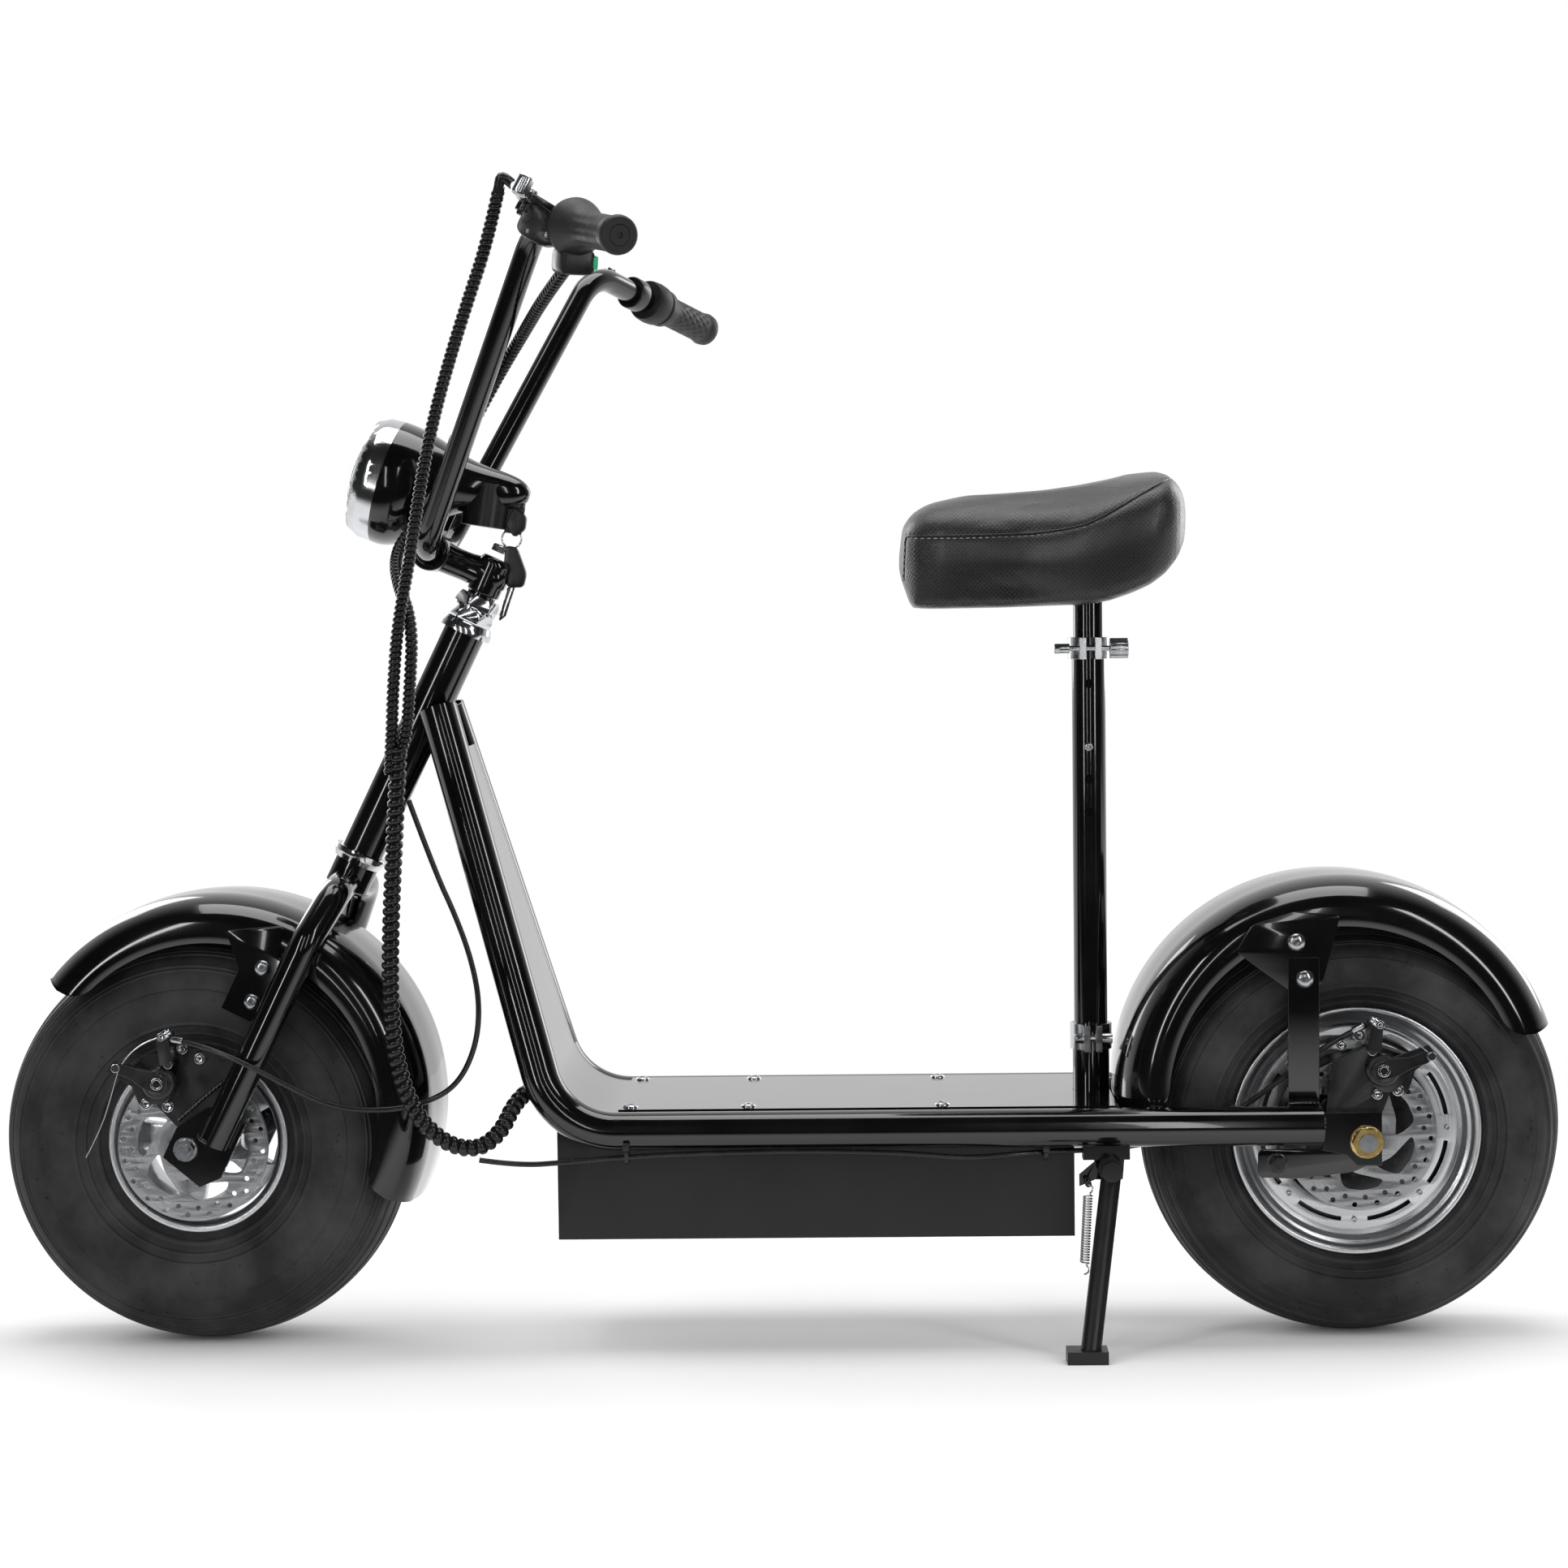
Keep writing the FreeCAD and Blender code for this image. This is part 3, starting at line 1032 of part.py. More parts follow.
for name, body, radius, points in CABLES:
    rod, length, bends = swept(name, kept_along(points), radius)
    doc.recompute()
    ratio = rod.Shape.Volume / (math.pi * size(radius) ** 2 * length)
    print(f"{name}: length {length:.0f} mm, volume ratio {ratio:.4f}, radii",
          [round(bend) for bend in bends])
    node(rod, name, body)

# The parked stance: the front end turned, then everything leaned and put over its origin
doc.recompute()
turn = Placement(Vector(0, 0, 0), Rotation(raked.multVec(Vector(0, 0, 1)), -size("steer_angle")),
                 axis_foot)
leaned = Placement(Vector(0, 0, lift), Rotation(Vector(1, 0, 0), lean))
steered = {"steering", "front_wheel"}


def stance(body):
    return leaned.multiply(turn) if body in steered else leaned


box = FreeCAD.BoundBox()
for item, body in nodes:
    shape = item.Shape.copy()
    shape.Placement = stance(body).multiply(shape.Placement)
    box.add(shape.optimalBoundingBox(False, False))
middle = Vector(-box.Center.x, -box.Center.y, -box.ZMin)
print("before the origin is set:", box)
to_origin = Placement(middle, Rotation())
for item, body in nodes:
    item.Placement = to_origin.multiply(stance(body)).multiply(item.Placement)
doc.recompute()

# Every object and sub-part is sound before anything is written
for item in doc.Objects:
    if "Invalid" in item.State or "Error" in item.State:
        raise ValueError(f"{item.Name} failed: {item.State}")
os.makedirs("parts", exist_ok=True)
for item, body in nodes:
    if item.Shape.isNull() or not item.Shape.isValid():
        raise ValueError(f"{item.Label} has no sound shape")
    item.Shape.exportStep(f"parts/{item.Label}.step")
print(len(nodes), "sub-parts,", "origin shift", [round(v, 3) for v in middle])
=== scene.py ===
import json
import math

import bmesh
import bpy
import numpy as np
from mathutils import Matrix, Vector
from mathutils.bvhtree import BVHTree

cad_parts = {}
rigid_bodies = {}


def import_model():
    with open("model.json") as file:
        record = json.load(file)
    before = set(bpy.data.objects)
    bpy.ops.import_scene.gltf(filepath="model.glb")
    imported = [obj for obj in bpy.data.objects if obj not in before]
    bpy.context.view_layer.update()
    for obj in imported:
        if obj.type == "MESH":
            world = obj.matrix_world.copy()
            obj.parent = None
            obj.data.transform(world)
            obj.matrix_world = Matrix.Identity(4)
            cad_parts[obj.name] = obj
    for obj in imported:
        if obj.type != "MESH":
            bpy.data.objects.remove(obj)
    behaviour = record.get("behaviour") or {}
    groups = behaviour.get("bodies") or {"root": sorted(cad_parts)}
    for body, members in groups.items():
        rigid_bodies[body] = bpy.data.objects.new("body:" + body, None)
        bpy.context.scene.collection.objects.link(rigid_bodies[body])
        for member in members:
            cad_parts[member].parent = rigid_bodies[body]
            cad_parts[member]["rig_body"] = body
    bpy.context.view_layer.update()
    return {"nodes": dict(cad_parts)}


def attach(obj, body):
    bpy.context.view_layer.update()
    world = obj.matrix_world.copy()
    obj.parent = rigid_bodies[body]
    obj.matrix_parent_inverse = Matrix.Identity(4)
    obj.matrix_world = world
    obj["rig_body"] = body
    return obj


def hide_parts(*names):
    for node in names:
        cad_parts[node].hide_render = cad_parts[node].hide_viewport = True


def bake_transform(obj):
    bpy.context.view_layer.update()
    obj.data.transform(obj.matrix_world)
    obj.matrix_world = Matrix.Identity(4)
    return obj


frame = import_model()
scene = bpy.context.scene

# The studio: a white floor that runs into a white backdrop, a wide soft lamp overhead, and tall
# strip lamps whose long reflections draw the tubes. The camera stands on the scooter's left.
scene.view_settings.view_transform = "Standard"
AMBIENT, ROOM_DARK, ROOM_BRIGHT = 0.62, 0.015, 0.85
FLOOR_RADIUS, FLOOR_LIT, FLOOR_GONE = 9.0, 1.3, 2.6


def linear(code):
    """Colour from its sRGB hex code, each channel by the sRGB curve"""
    part = np.array([int(code[n:n + 2], 16) for n in (0, 2, 4)]) / 255
    part = np.where(part <= 0.04045, part / 12.92, ((part + 0.055) / 1.055) ** 2.4)
    return (*part.tolist(), 1.0)


def add(tree, kind, inputs=None, **settings):
    """Adds a node: settings are its own, and an input takes a constant or the output linked to it"""
    step = tree.nodes.new(kind)
    for name, value in settings.items():
        setattr(step, name, value)
    for name, value in (inputs or {}).items():
        if isinstance(value, bpy.types.NodeSocket):
            tree.links.new(value, step.inputs[name])
        else:
            step.inputs[name].default_value = value
    return step


def maths(tree, operation, *values, clamp=False):
    """Output of a Math node"""
    inputs = dict(enumerate(values))
    return add(tree, "ShaderNodeMath", inputs, operation=operation, use_clamp=clamp).outputs[0]


world = bpy.data.worlds.new("white_studio")
scene.world = world
world.use_nodes = True
tree = world.node_tree
tree.nodes.clear()
ray = add(tree, "ShaderNodeLightPath").outputs
heading = add(tree, "ShaderNodeSeparateXYZ",
              {0: add(tree, "ShaderNodeTexCoord").outputs["Generated"]}).outputs
behind = add(tree, "ShaderNodeMapRange",
             {0: heading["Y"], 1: -0.15, 2: 0.75, 3: ROOM_DARK, 4: ROOM_BRIGHT},
             interpolation_type="SMOOTHSTEP").outputs[0]
room = maths(tree, "MULTIPLY_ADD", ray["Is Glossy Ray"], maths(tree, "SUBTRACT", behind, AMBIENT), AMBIENT)
seen = maths(tree, "MAXIMUM", ray["Is Camera Ray"], ray["Is Transmission Ray"])
level = maths(tree, "MULTIPLY_ADD", seen, maths(tree, "SUBTRACT", 1.0, room), room)
backdrop = add(tree, "ShaderNodeBackground", {"Color": linear("FFFFFF"), "Strength": level})
add(tree, "ShaderNodeOutputWorld", {"Surface": backdrop.outputs[0]})


def material(name, **sockets):
    """New material and its tree; the Principled shader's sockets are set by name, _ for a space"""
    made = bpy.data.materials.new(name)
    made.use_nodes = True
    made.node_tree.nodes.clear()
    inputs = {key.replace("_", " "): value for key, value in sockets.items()}
    shader = add(made.node_tree, "ShaderNodeBsdfPrincipled", inputs)
    add(made.node_tree, "ShaderNodeOutputMaterial", {"Surface": shader.outputs[0]})
    return made, made.node_tree, shader


floor_paper = bpy.data.materials.new("white_paper_floor")
floor_paper.use_nodes = True
tree = floor_paper.node_tree
tree.nodes.clear()
spot = add(tree, "ShaderNodeTexCoord").outputs["Object"]
away = add(tree, "ShaderNodeVectorMath", {0: spot}, operation="LENGTH").outputs["Value"]
fade = add(tree, "ShaderNodeMapRange", {0: away, 1: FLOOR_LIT, 2: FLOOR_GONE},
           interpolation_type="SMOOTHSTEP").outputs[0]
paper = add(tree, "ShaderNodeBsdfDiffuse", {"Color": linear("F4F4F4")})
glow = add(tree, "ShaderNodeEmission", {"Color": linear("FFFFFF"), "Strength": 1.0})
both = add(tree, "ShaderNodeMixShader", {0: fade, 1: paper.outputs[0], 2: glow.outputs[0]})
# painted dark reflection: near the camera the floor turns nearly black to glossy rays only, so the tubes mirror
# darkness there while the camera still sees white paper
depth = add(tree, "ShaderNodeSeparateXYZ", {0: spot}).outputs["Y"]
near = add(tree, "ShaderNodeMapRange", {0: depth, 1: -0.38, 2: -0.95},
           interpolation_type="SMOOTHSTEP").outputs[0]
painted_reflection_near = maths(tree, "MULTIPLY", near, add(tree, "ShaderNodeLightPath").outputs["Is Glossy Ray"])
painted_dark_reflection = add(tree, "ShaderNodeEmission", {"Color": linear("FFFFFF"), "Strength": 0.02})
both = add(tree, "ShaderNodeMixShader", {0: painted_reflection_near, 1: both.outputs[0], 2: painted_dark_reflection.outputs[0]})
add(tree, "ShaderNodeOutputMaterial", {"Surface": both.outputs[0]})
ring = np.linspace(0, 2 * np.pi, 97)[:-1]
rim = np.stack([FLOOR_RADIUS * np.cos(ring), FLOOR_RADIUS * np.sin(ring), 0 * ring], 1)
mesh = bpy.data.meshes.new("floor")
mesh.from_pydata(rim.tolist(), [], [list(range(len(ring)))])
mesh.materials.append(floor_paper)
floor = bpy.data.objects.new("floor", mesh)
scene.collection.objects.link(floor)

LAMPS = [
    # name, place, aim, width, height, watts
    ("overhead_softbox", (0.0, 0.1, 3.0), (0, 0, 0.3), 2.6, 1.6, 44),
    ("front_strip", (-1.7, -2.3, 1.2), (-0.3, 0, 0.6), 0.22, 2.2, 15),
    ("rear_strip", (1.9, -2.0, 1.3), (0.4, 0, 0.5), 0.30, 2.2, 17),
    ("low_fill", (0.2, -3.2, 0.35), (0, 0, 0.3), 2.4, 0.3, 7),
    ("camera_strip_left", (-0.62, -3.0, 1.15), (-0.3, 0, 0.6), 0.14, 2.0, 5),
    ("camera_strip_right", (0.66, -3.0, 1.15), (0.3, 0, 0.6), 0.14, 2.0, 5),
    ("backdrop_lamp_left", (-2.0, 2.4, 1.6), (0, 0, 0.5), 1.2, 2.0, 26),
    ("backdrop_lamp_right", (2.2, 2.4, 1.6), (0, 0, 0.5), 1.2, 2.0, 26),
]
for name, place, aim, width, height, watts in LAMPS:
    data = bpy.data.lights.new(name, "AREA")
    data.shape, data.size, data.size_y, data.energy = "RECTANGLE", width, height, watts
    lamp = bpy.data.objects.new(name, data)
    lamp.location = place
    lamp.rotation_euler = (Vector(aim) - Vector(place)).to_track_quat("-Z", "Y").to_euler()
    lamp.visible_camera = False
    lamp.visible_glossy = name != "low_fill"
    scene.collection.objects.link(lamp)

# the photograph was taken level, from 2.97 m, with the lens turned 1.3 degrees to the front
SENSOR, FOCAL_PIXELS, PHOTO_PIXELS = 36.0, 3900, 1932
CAMERA_SPOT, YAW, ROLL = (0.0752, -2.9092, 0.5123), math.radians(1.3), math.radians(0.62)
data = bpy.data.cameras.new("camera")
data.sensor_width, data.lens = SENSOR, SENSOR * FOCAL_PIXELS / PHOTO_PIXELS
camera = bpy.data.objects.new("camera", data)
ahead = Vector((-math.sin(YAW), math.cos(YAW), 0))
level_right, upward = Vector((math.cos(YAW), math.sin(YAW), 0)), Vector((0, 0, 1))
right = math.cos(ROLL) * level_right - math.sin(ROLL) * upward
upper = math.cos(ROLL) * upward + math.sin(ROLL) * level_right
turned_to = Matrix((right, upper, -ahead)).transposed().to_4x4()
camera.matrix_world = Matrix.Translation(CAMERA_SPOT) @ turned_to
scene.collection.objects.link(camera)
scene.camera = camera

# The frame: two bent tubes from the head tube back to the rear axle, a front panel, a cross member
# and the stays, of welded mild steel under black enamel. All have their final shape in the CAD.


def roughened(tree, shader, grain_mm, depth_mm, low, high, patch_mm=60.0):
    """Small bumps of one grain size, and a roughness that drifts between two values over a patch"""
    spot = add(tree, "ShaderNodeTexCoord").outputs["Object"]
    grit = add(tree, "ShaderNodeTexNoise", {"Vector": spot, "Scale": 1000 / grain_mm, "Detail": 3.0})
    bump = add(tree, "ShaderNodeBump", {"Height": grit.outputs[0], "Strength": 1.0,
                                        "Distance": depth_mm / 1000})
    tree.links.new(bump.outputs[0], shader.inputs["Normal"])
    patch = add(tree, "ShaderNodeTexNoise", {"Vector": spot, "Scale": 1000 / patch_mm, "Detail": 4.0})
    drift = add(tree, "ShaderNodeMapRange", {0: patch.outputs[0], 1: 0.3, 2: 0.7, 3: low, 4: high})
    tree.links.new(drift.outputs[0], shader.inputs["Roughness"])
    return patch.outputs[0]


def tinted(tree, shader, factor, first, second, low=0.3, high=0.7):
    """Base colour that runs from one hex colour to another with a factor"""
    ramp = add(tree, "ShaderNodeValToRGB", {0: factor})
    ramp.color_ramp.elements[0].position, ramp.color_ramp.elements[0].color = low, linear(first)
    ramp.color_ramp.elements[1].position, ramp.color_ramp.elements[1].color = high, linear(second)
    tree.links.new(ramp.outputs[0], shader.inputs["Base Color"])


def finished(name, first, second, grain_mm, depth_mm, low, high, patch_mm=60.0, **sockets):
    """Material with small bumps of one grain size, whose colour and roughness drift over a patch"""
    made, tree, shader = material(name, **sockets)
    tinted(tree, shader, roughened(tree, shader, grain_mm, depth_mm, low, high, patch_mm), first, second)
    return made


# sprayed and baked enamel: deep black, wet gloss, a faint orange peel about 6 mm across
enamel = finished("black_baked_enamel", "050506", "0A0A0B", 6.0, 0.0025, 0.09, 0.15, Specular_IOR_Level=0.5,
                  Coat_Weight=0.6, Coat_Roughness=0.02, Coat_IOR=1.5)

# textured powder coat on sheet steel: satin black with a fine dry grain
powder = finished("black_powder_coat", "0B0B0C", "121213", 0.8, 0.025, 0.36, 0.46, Specular_IOR_Level=0.45)


def shaded(mesh, surface, sharp):
    """Smooth shading across edges up to an angle, and one material"""
    mesh.polygons.foreach_set("use_smooth", np.ones(len(mesh.polygons), bool))
    mesh.set_sharp_from_angle(angle=math.radians(sharp))
    mesh.materials.clear()
    mesh.materials.append(surface)


def dress(surface, *names, edge=0.0, sharp=44):
    """Skins over CAD pieces, which they replace: the same form with its corners merged, round faces
    shaded smooth, and edges eased by some mm"""
    for name in names:
        work = bmesh.new()
        work.from_mesh(frame["nodes"][name].data)
        bmesh.ops.remove_doubles(work, verts=work.verts, dist=2e-6)
        bmesh.ops.dissolve_limit(work, angle_limit=math.radians(0.4), verts=work.verts, edges=work.edges)
        mesh = bpy.data.meshes.new(name + "_skin")
        work.to_mesh(mesh)
        work.free()
        shaded(mesh, surface, sharp)
        piece = bpy.data.objects.new(name + "_skin", mesh)
        scene.collection.objects.link(piece)
        if edge:
            bevel = piece.modifiers.new("eased_edges", "BEVEL")
            bevel.width, bevel.segments, bevel.angle_limit = edge / 1000, 2, math.radians(40)
            bevel.harden_normals = True
        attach(piece, frame["nodes"][name]["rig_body"])
        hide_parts(name)


dress(enamel, "head_tube", "frame_tube_left", "frame_tube_right", "front_panel", "seat_socket",
      "seat_tube", "fork_crown", "handlebar", "headlight_shell", "deck_plate")
dress(enamel, "rear_stays", "rear_dropouts", "fork_leg_left", "fork_leg_right", "kickstand_bracket", edge=0.5)
dress(powder, "battery_box", "kickstand_leg", edge=0.6)

# Everything is laid out in mm on the upright scooter, x to the rear and y to the right. Parked, it
# leans to its left by 3.5 degrees, and its front end is turned 3 degrees to the right.
RAKE, LEAN, STEER = 26.0, 3.5, -3.0
FRONT_AXLE, REAR_AXLE, FORK_OFFSET, CROWN_RADIUS = (-531, 0, 190), (531, 0, 193), 16, 90
ORIGIN_SHIFT = (-1.565, 60.828, 0.073)


def moved(x, y, z):
    result = np.eye(4)
    result[:3, 3] = x, y, z
    return result


def about(axis, degrees):
    """Turn about an axis through the origin, as a 4 by 4 array"""
    return np.array(Matrix.Rotation(math.radians(degrees), 4, Vector(axis)))


def facing(spot, direction, side=(0, 0, 1)):
    """Frame at a spot whose z axis points along a direction and whose x axis is nearest to side"""
    z = Vector(direction).normalized()
    x = (Vector(side) - z * z.dot(Vector(side))).normalized()
    result = np.eye(4)
    result[:3, 0], result[:3, 1], result[:3, 2], result[:3, 3] = x, z.cross(x), z, spot
    return result


axis_turn = about((0, 1, 0), RAKE)
AXIS = moved(*(np.array(FRONT_AXLE) + axis_turn[:3, :3] @ (FORK_OFFSET, 0, 0))) @ axis_turn
leaned = (np.diag([0.001, 0.001, 0.001, 1]) @ moved(*ORIGIN_SHIFT)
          @ moved(0, 0, CROWN_RADIUS * (1 - math.cos(math.radians(LEAN)))) @ about((1, 0, 0), LEAN))
steered = leaned @ AXIS @ about((0, 0, 1), STEER) @ np.linalg.inv(AXIS)
UPRIGHT = np.linalg.inv(leaned)
STANCE = {"frame": leaned, "rear_wheel": leaned, "seat": leaned, "stand": leaned,
          "steering": steered, "front_wheel": steered}
FRONT_WHEEL = moved(*FRONT_AXLE) @ about((1, 0, 0), -90)
REAR_WHEEL = moved(*REAR_AXLE) @ about((1, 0, 0), -90)


def skin(points, around=False, along=False, cell=(1.0, 1.0)):
    """Quads over a grid of points that may close on itself either way; corners count cells in mm"""
    rows, columns = points.shape[:2]
    i, j = np.meshgrid(np.arange(rows - (not along)), np.arange(columns - (not around)), indexing="ij")
    i = np.stack([i, i + 1, i + 1, i], -1).reshape(-1, 4)
    j = np.stack([j, j, j + 1, j + 1], -1).reshape(-1, 4)
    faces = (i % rows) * columns + j % columns
    corners = np.stack([j * cell[0], i * cell[1]], -1).reshape(-1, 2)
    return points.reshape(-1, 3), faces.tolist(), corners


def put(frame_, part):
    """Skin moved into a frame"""
    points, faces, corners = part
    return points @ frame_[:3, :3].T + frame_[:3, 3], faces, corners


def built(name, body, surface, *parts, slot=None, sharp=38, weld=True, rides=True):
    """One object from skins in mm on the upright scooter, put in its body's stance"""
    start, points, faces = 0, [], []
    for part in parts:
        points.append(part[0])
        faces += [[n + start for n in face] for face in part[1]]
        start += len(part[0])
    place = STANCE[body]
    points = np.vstack(points) @ place[:3, :3].T + place[:3, 3]
    mesh = bpy.data.meshes.new(name)
    mesh.from_pydata(points.tolist(), [], faces)
    layer = mesh.uv_layers.new(name="turning")
    layer.data.foreach_set("uv", (np.vstack([part[2] for part in parts]) / 1000).ravel())
    if weld:
        work = bmesh.new()
        work.from_mesh(mesh)
        bmesh.ops.remove_doubles(work, verts=work.verts, dist=2e-6)
        bmesh.ops.dissolve_degenerate(work, edges=work.edges, dist=1e-6)
        bmesh.ops.recalc_face_normals(work, faces=work.faces)
        work.to_mesh(mesh)
        work.free()
    shaded(mesh, surface, sharp)
    piece = bpy.data.objects.new(name, mesh)
    scene.collection.objects.link(piece)
    if rides:
        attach(piece, body)
    return piece


def eased(profile, ease=0.6, steps=4):
    """Outline whose corners are rounded: a quadratic curve from a spot before each to one after it"""
    p = np.array(profile, float)
    back, ahead = p[:-2] - p[1:-1], p[2:] - p[1:-1]
    back_length = np.linalg.norm(back[:, :2], axis=1, keepdims=True)
    ahead_length = np.linalg.norm(ahead[:, :2], axis=1, keepdims=True)
    first = p[1:-1] + back / back_length * np.minimum(ease, back_length * 0.45)
    last = p[1:-1] + ahead / ahead_length * np.minimum(ease, ahead_length * 0.45)
    t = np.linspace(0, 1, steps)[None, :, None]
    curve = (1 - t) ** 2 * first[:, None] + 2 * t * (1 - t) * p[1:-1][:, None] + t ** 2 * last[:, None]
    return np.vstack([p[:1], curve.reshape(-1, p.shape[1]), p[-1:]])


def lathe(profile, steps=96, ripple=None):
    """Surface of revolution about z. The profile holds radius and height, and may hold how far a
    ring is a hexagon, from 0 to 1. Ripple scales each point's radius by its height and angle"""
    p = np.array(profile, float)
    angle = np.arange(steps) * 2 * np.pi / steps
    hexagon = math.cos(np.pi / 6) / np.cos((angle + np.pi / 6) % (np.pi / 3) - np.pi / 6)
    share = p[:, 2:3] if p.shape[1] > 2 else 0
    radius = p[:, :1] * (1 - share + share * hexagon[None])
    if ripple:
        radius = radius * ripple(p[:, 1:2], angle[None])
    height = np.repeat(p[:, 1:2], steps, 1)
    points = np.stack([radius * np.cos(angle), radius * np.sin(angle), height], -1)
    run = np.linalg.norm(np.diff(p[:, :2], axis=0), axis=1).mean()
    return skin(points, around=True, cell=(p[:, 0].max() * 2 * np.pi / steps, run))


def tube(path, radius, sides=16, ends=True):
    """Ring carried along a path, square to it. Its first axis is the direction that the path turns
    to least, so it never twists. Radius is one number, one for each ring, or one for each point"""
    path = np.array(path, float)
    run = np.gradient(path, axis=0)
    run /= np.linalg.norm(run, axis=1, keepdims=True)
    steady = np.linalg.eigh(run.T @ run)[1][:, 0]
    first = steady - run * (run @ steady)[:, None]
    first /= np.linalg.norm(first, axis=1, keepdims=True)
    second = np.cross(run, first)
    angle = np.arange(sides) * 2 * np.pi / sides
    radius = np.broadcast_to(np.asarray(radius, float).reshape(
        (-1, 1) if np.ndim(radius) == 1 else np.shape(radius) or (1, 1)), (len(path), sides))
    spread = np.cos(angle)[None, :, None] * first[:, None] + np.sin(angle)[None, :, None] * second[:, None]
    points = path[:, None] + spread * radius[..., None]
    if ends:
        points = np.concatenate([np.repeat(path[:1, None], sides, 1), points,
                                 np.repeat(path[-1:, None], sides, 1)])
    return skin(points, around=True, cell=(6.0, np.linalg.norm(np.diff(path, axis=0), axis=1).mean()))


def slab(outline, low, high):
    """Flat plate of any outline in x and y, from one height to another"""
    flat = np.array(outline, float)
    count = len(flat)
    points = np.vstack([np.column_stack([flat, np.full(count, z)]) for z in (low, high)])
    faces = [[n, (n + 1) % count, (n + 1) % count + count, n + count] for n in range(count)]
    faces += [list(range(count))[::-1], list(range(count, 2 * count))]
    return points, faces, np.zeros((sum(len(face) for face in faces), 2))


def spots_of(mesh):
    """Positions of a mesh's corners"""
    flat = np.zeros(len(mesh.vertices) * 3)
    mesh.vertices.foreach_get("co", flat)
    return flat.reshape(-1, 3)


def walked_along(path):
    """Distance from the start of a path at each of its points"""
    return np.concatenate([[0], np.cumsum(np.linalg.norm(np.diff(path, axis=0), axis=1))])


def spaced(path, count):
    """Points at even distances along a path"""
    walked = walked_along(path)
    even = np.linspace(0, walked[-1], count)
    return np.column_stack([np.interp(even, walked, path[:, n]) for n in range(path.shape[1])])


def smoothed(points, count):
    """Path through spots of a NURBS curve that has them as its control points, evenly spaced"""
    curve = bpy.data.curves.new("route", "CURVE")
    curve.dimensions = "3D"
    spline = curve.splines.new("NURBS")
    spline.points.add(len(points) - 1)
    spline.points.foreach_set("co", np.column_stack([points, np.ones(len(points))]).ravel())
    spline.order_u = 3
    spline.use_endpoint_u = True
    spline.resolution_u = 24
    holder = bpy.data.objects.new("route", curve)
    drawn = bpy.data.meshes.new_from_object(holder)
    path = spots_of(drawn)
    bpy.data.objects.remove(holder)
    return spaced(path, count)


def pierced(loops, wall, rim=0.15):
    """Flat plate in x and y from an outline and the outlines of its holes, centred on z = 0"""
    curve = bpy.data.curves.new("plate", "CURVE")
    curve.dimensions, curve.fill_mode = "2D", "BOTH"
    curve.extrude, curve.bevel_depth = wall / 2 - rim, rim
    curve.bevel_resolution = 1
    for loop in loops:
        loop = np.array(loop, float)
        spline = curve.splines.new("POLY")
        spline.points.add(len(loop) - 1)
        spline.points.foreach_set("co", np.column_stack(
            [loop, np.zeros(len(loop)), np.ones(len(loop))]).ravel())
        spline.use_cyclic_u = True
    holder = bpy.data.objects.new("plate", curve)
    drawn = bpy.data.meshes.new_from_object(holder)
    points = spots_of(drawn)
    faces = [list(face.vertices) for face in drawn.polygons]
    bpy.data.objects.remove(holder)
    corners = points[np.concatenate(faces)]
    radius = np.linalg.norm(corners[:, :2], axis=1)
    turn = np.arctan2(corners[:, 1], corners[:, 0])
    return points, faces, np.column_stack([turn * 40, radius])


def circle(radius, count=64, centre=(0, 0), start=0.0):
    turn = start + np.arange(count) * 2 * np.pi / count
    return np.column_stack([centre[0] + radius * np.cos(turn), centre[1] + radius * np.sin(turn)])


def rounded(corners, ease, steps=6):
    """Closed outline with every corner rounded"""
    p = np.array(corners, float)
    return eased(np.vstack([p[-1:], p, p[:1]]), ease, steps)[1:-1]


# Headset: pressed cups at both ends of the head tube and two locked hexagon nuts over them, of
# turned steel with a bright chrome plating.
chrome = finished("chrome_plated_steel", "CACCCF", "DADBDE", 6.0, 0.0004, 0.10, 0.16, patch_mm=25.0,
                  Metallic=1.0)
dress(chrome, "headset_cups", "headset_nuts", "headlight_bezel")

# zinc plated steel of screws and axles: soft grey shine with a faint cloudiness
zinc = finished("zinc_plated_steel", "A6A8AC", "B9BBBF", 0.7, 0.003, 0.20, 0.28, patch_mm=12.0,
                Metallic=1.0)
dress(zinc, "front_axle", "front_axle_nuts", "rear_axle")

# yellow passivated zinc of the rear axle nuts
yellow_zinc = finished("yellow_passivated_zinc", "C0A468", "D2BB82", 0.7, 0.001, 0.20, 0.28, patch_mm=9.0,
                       Metallic=1.0)
dress(yellow_zinc, "rear_axle_nuts")

# sand cast aluminium sprayed black, of the calipers and lamp bracket; the stem, cast too, is given the enamel
cast = finished("black_cast_aluminium", "08080A", "101012", 1.6, 0.05, 0.24, 0.38, patch_mm=20.0,
                Specular_IOR_Level=0.5, Coat_Weight=0.25, Coat_Roughness=0.15)
dress(cast, "front_caliper", "rear_caliper", "headlight_bracket", edge=0.5)

# injection moulded ABS and nylon: black, half matt
plastic = finished("black_moulded_abs", "0C0C0D", "141415", 0.5, 0.012, 0.28, 0.40, patch_mm=15.0,
                   Specular_IOR_Level=0.5)
dress(plastic, "ignition_lock", edge=0.8)

# shrink sleeve of the battery pack, hidden in its box
sleeve = finished("blue_pvc_sleeve", "1B2A4A", "24365E", 2.0, 0.05, 0.35, 0.5)
dress(sleeve, "battery_pack")


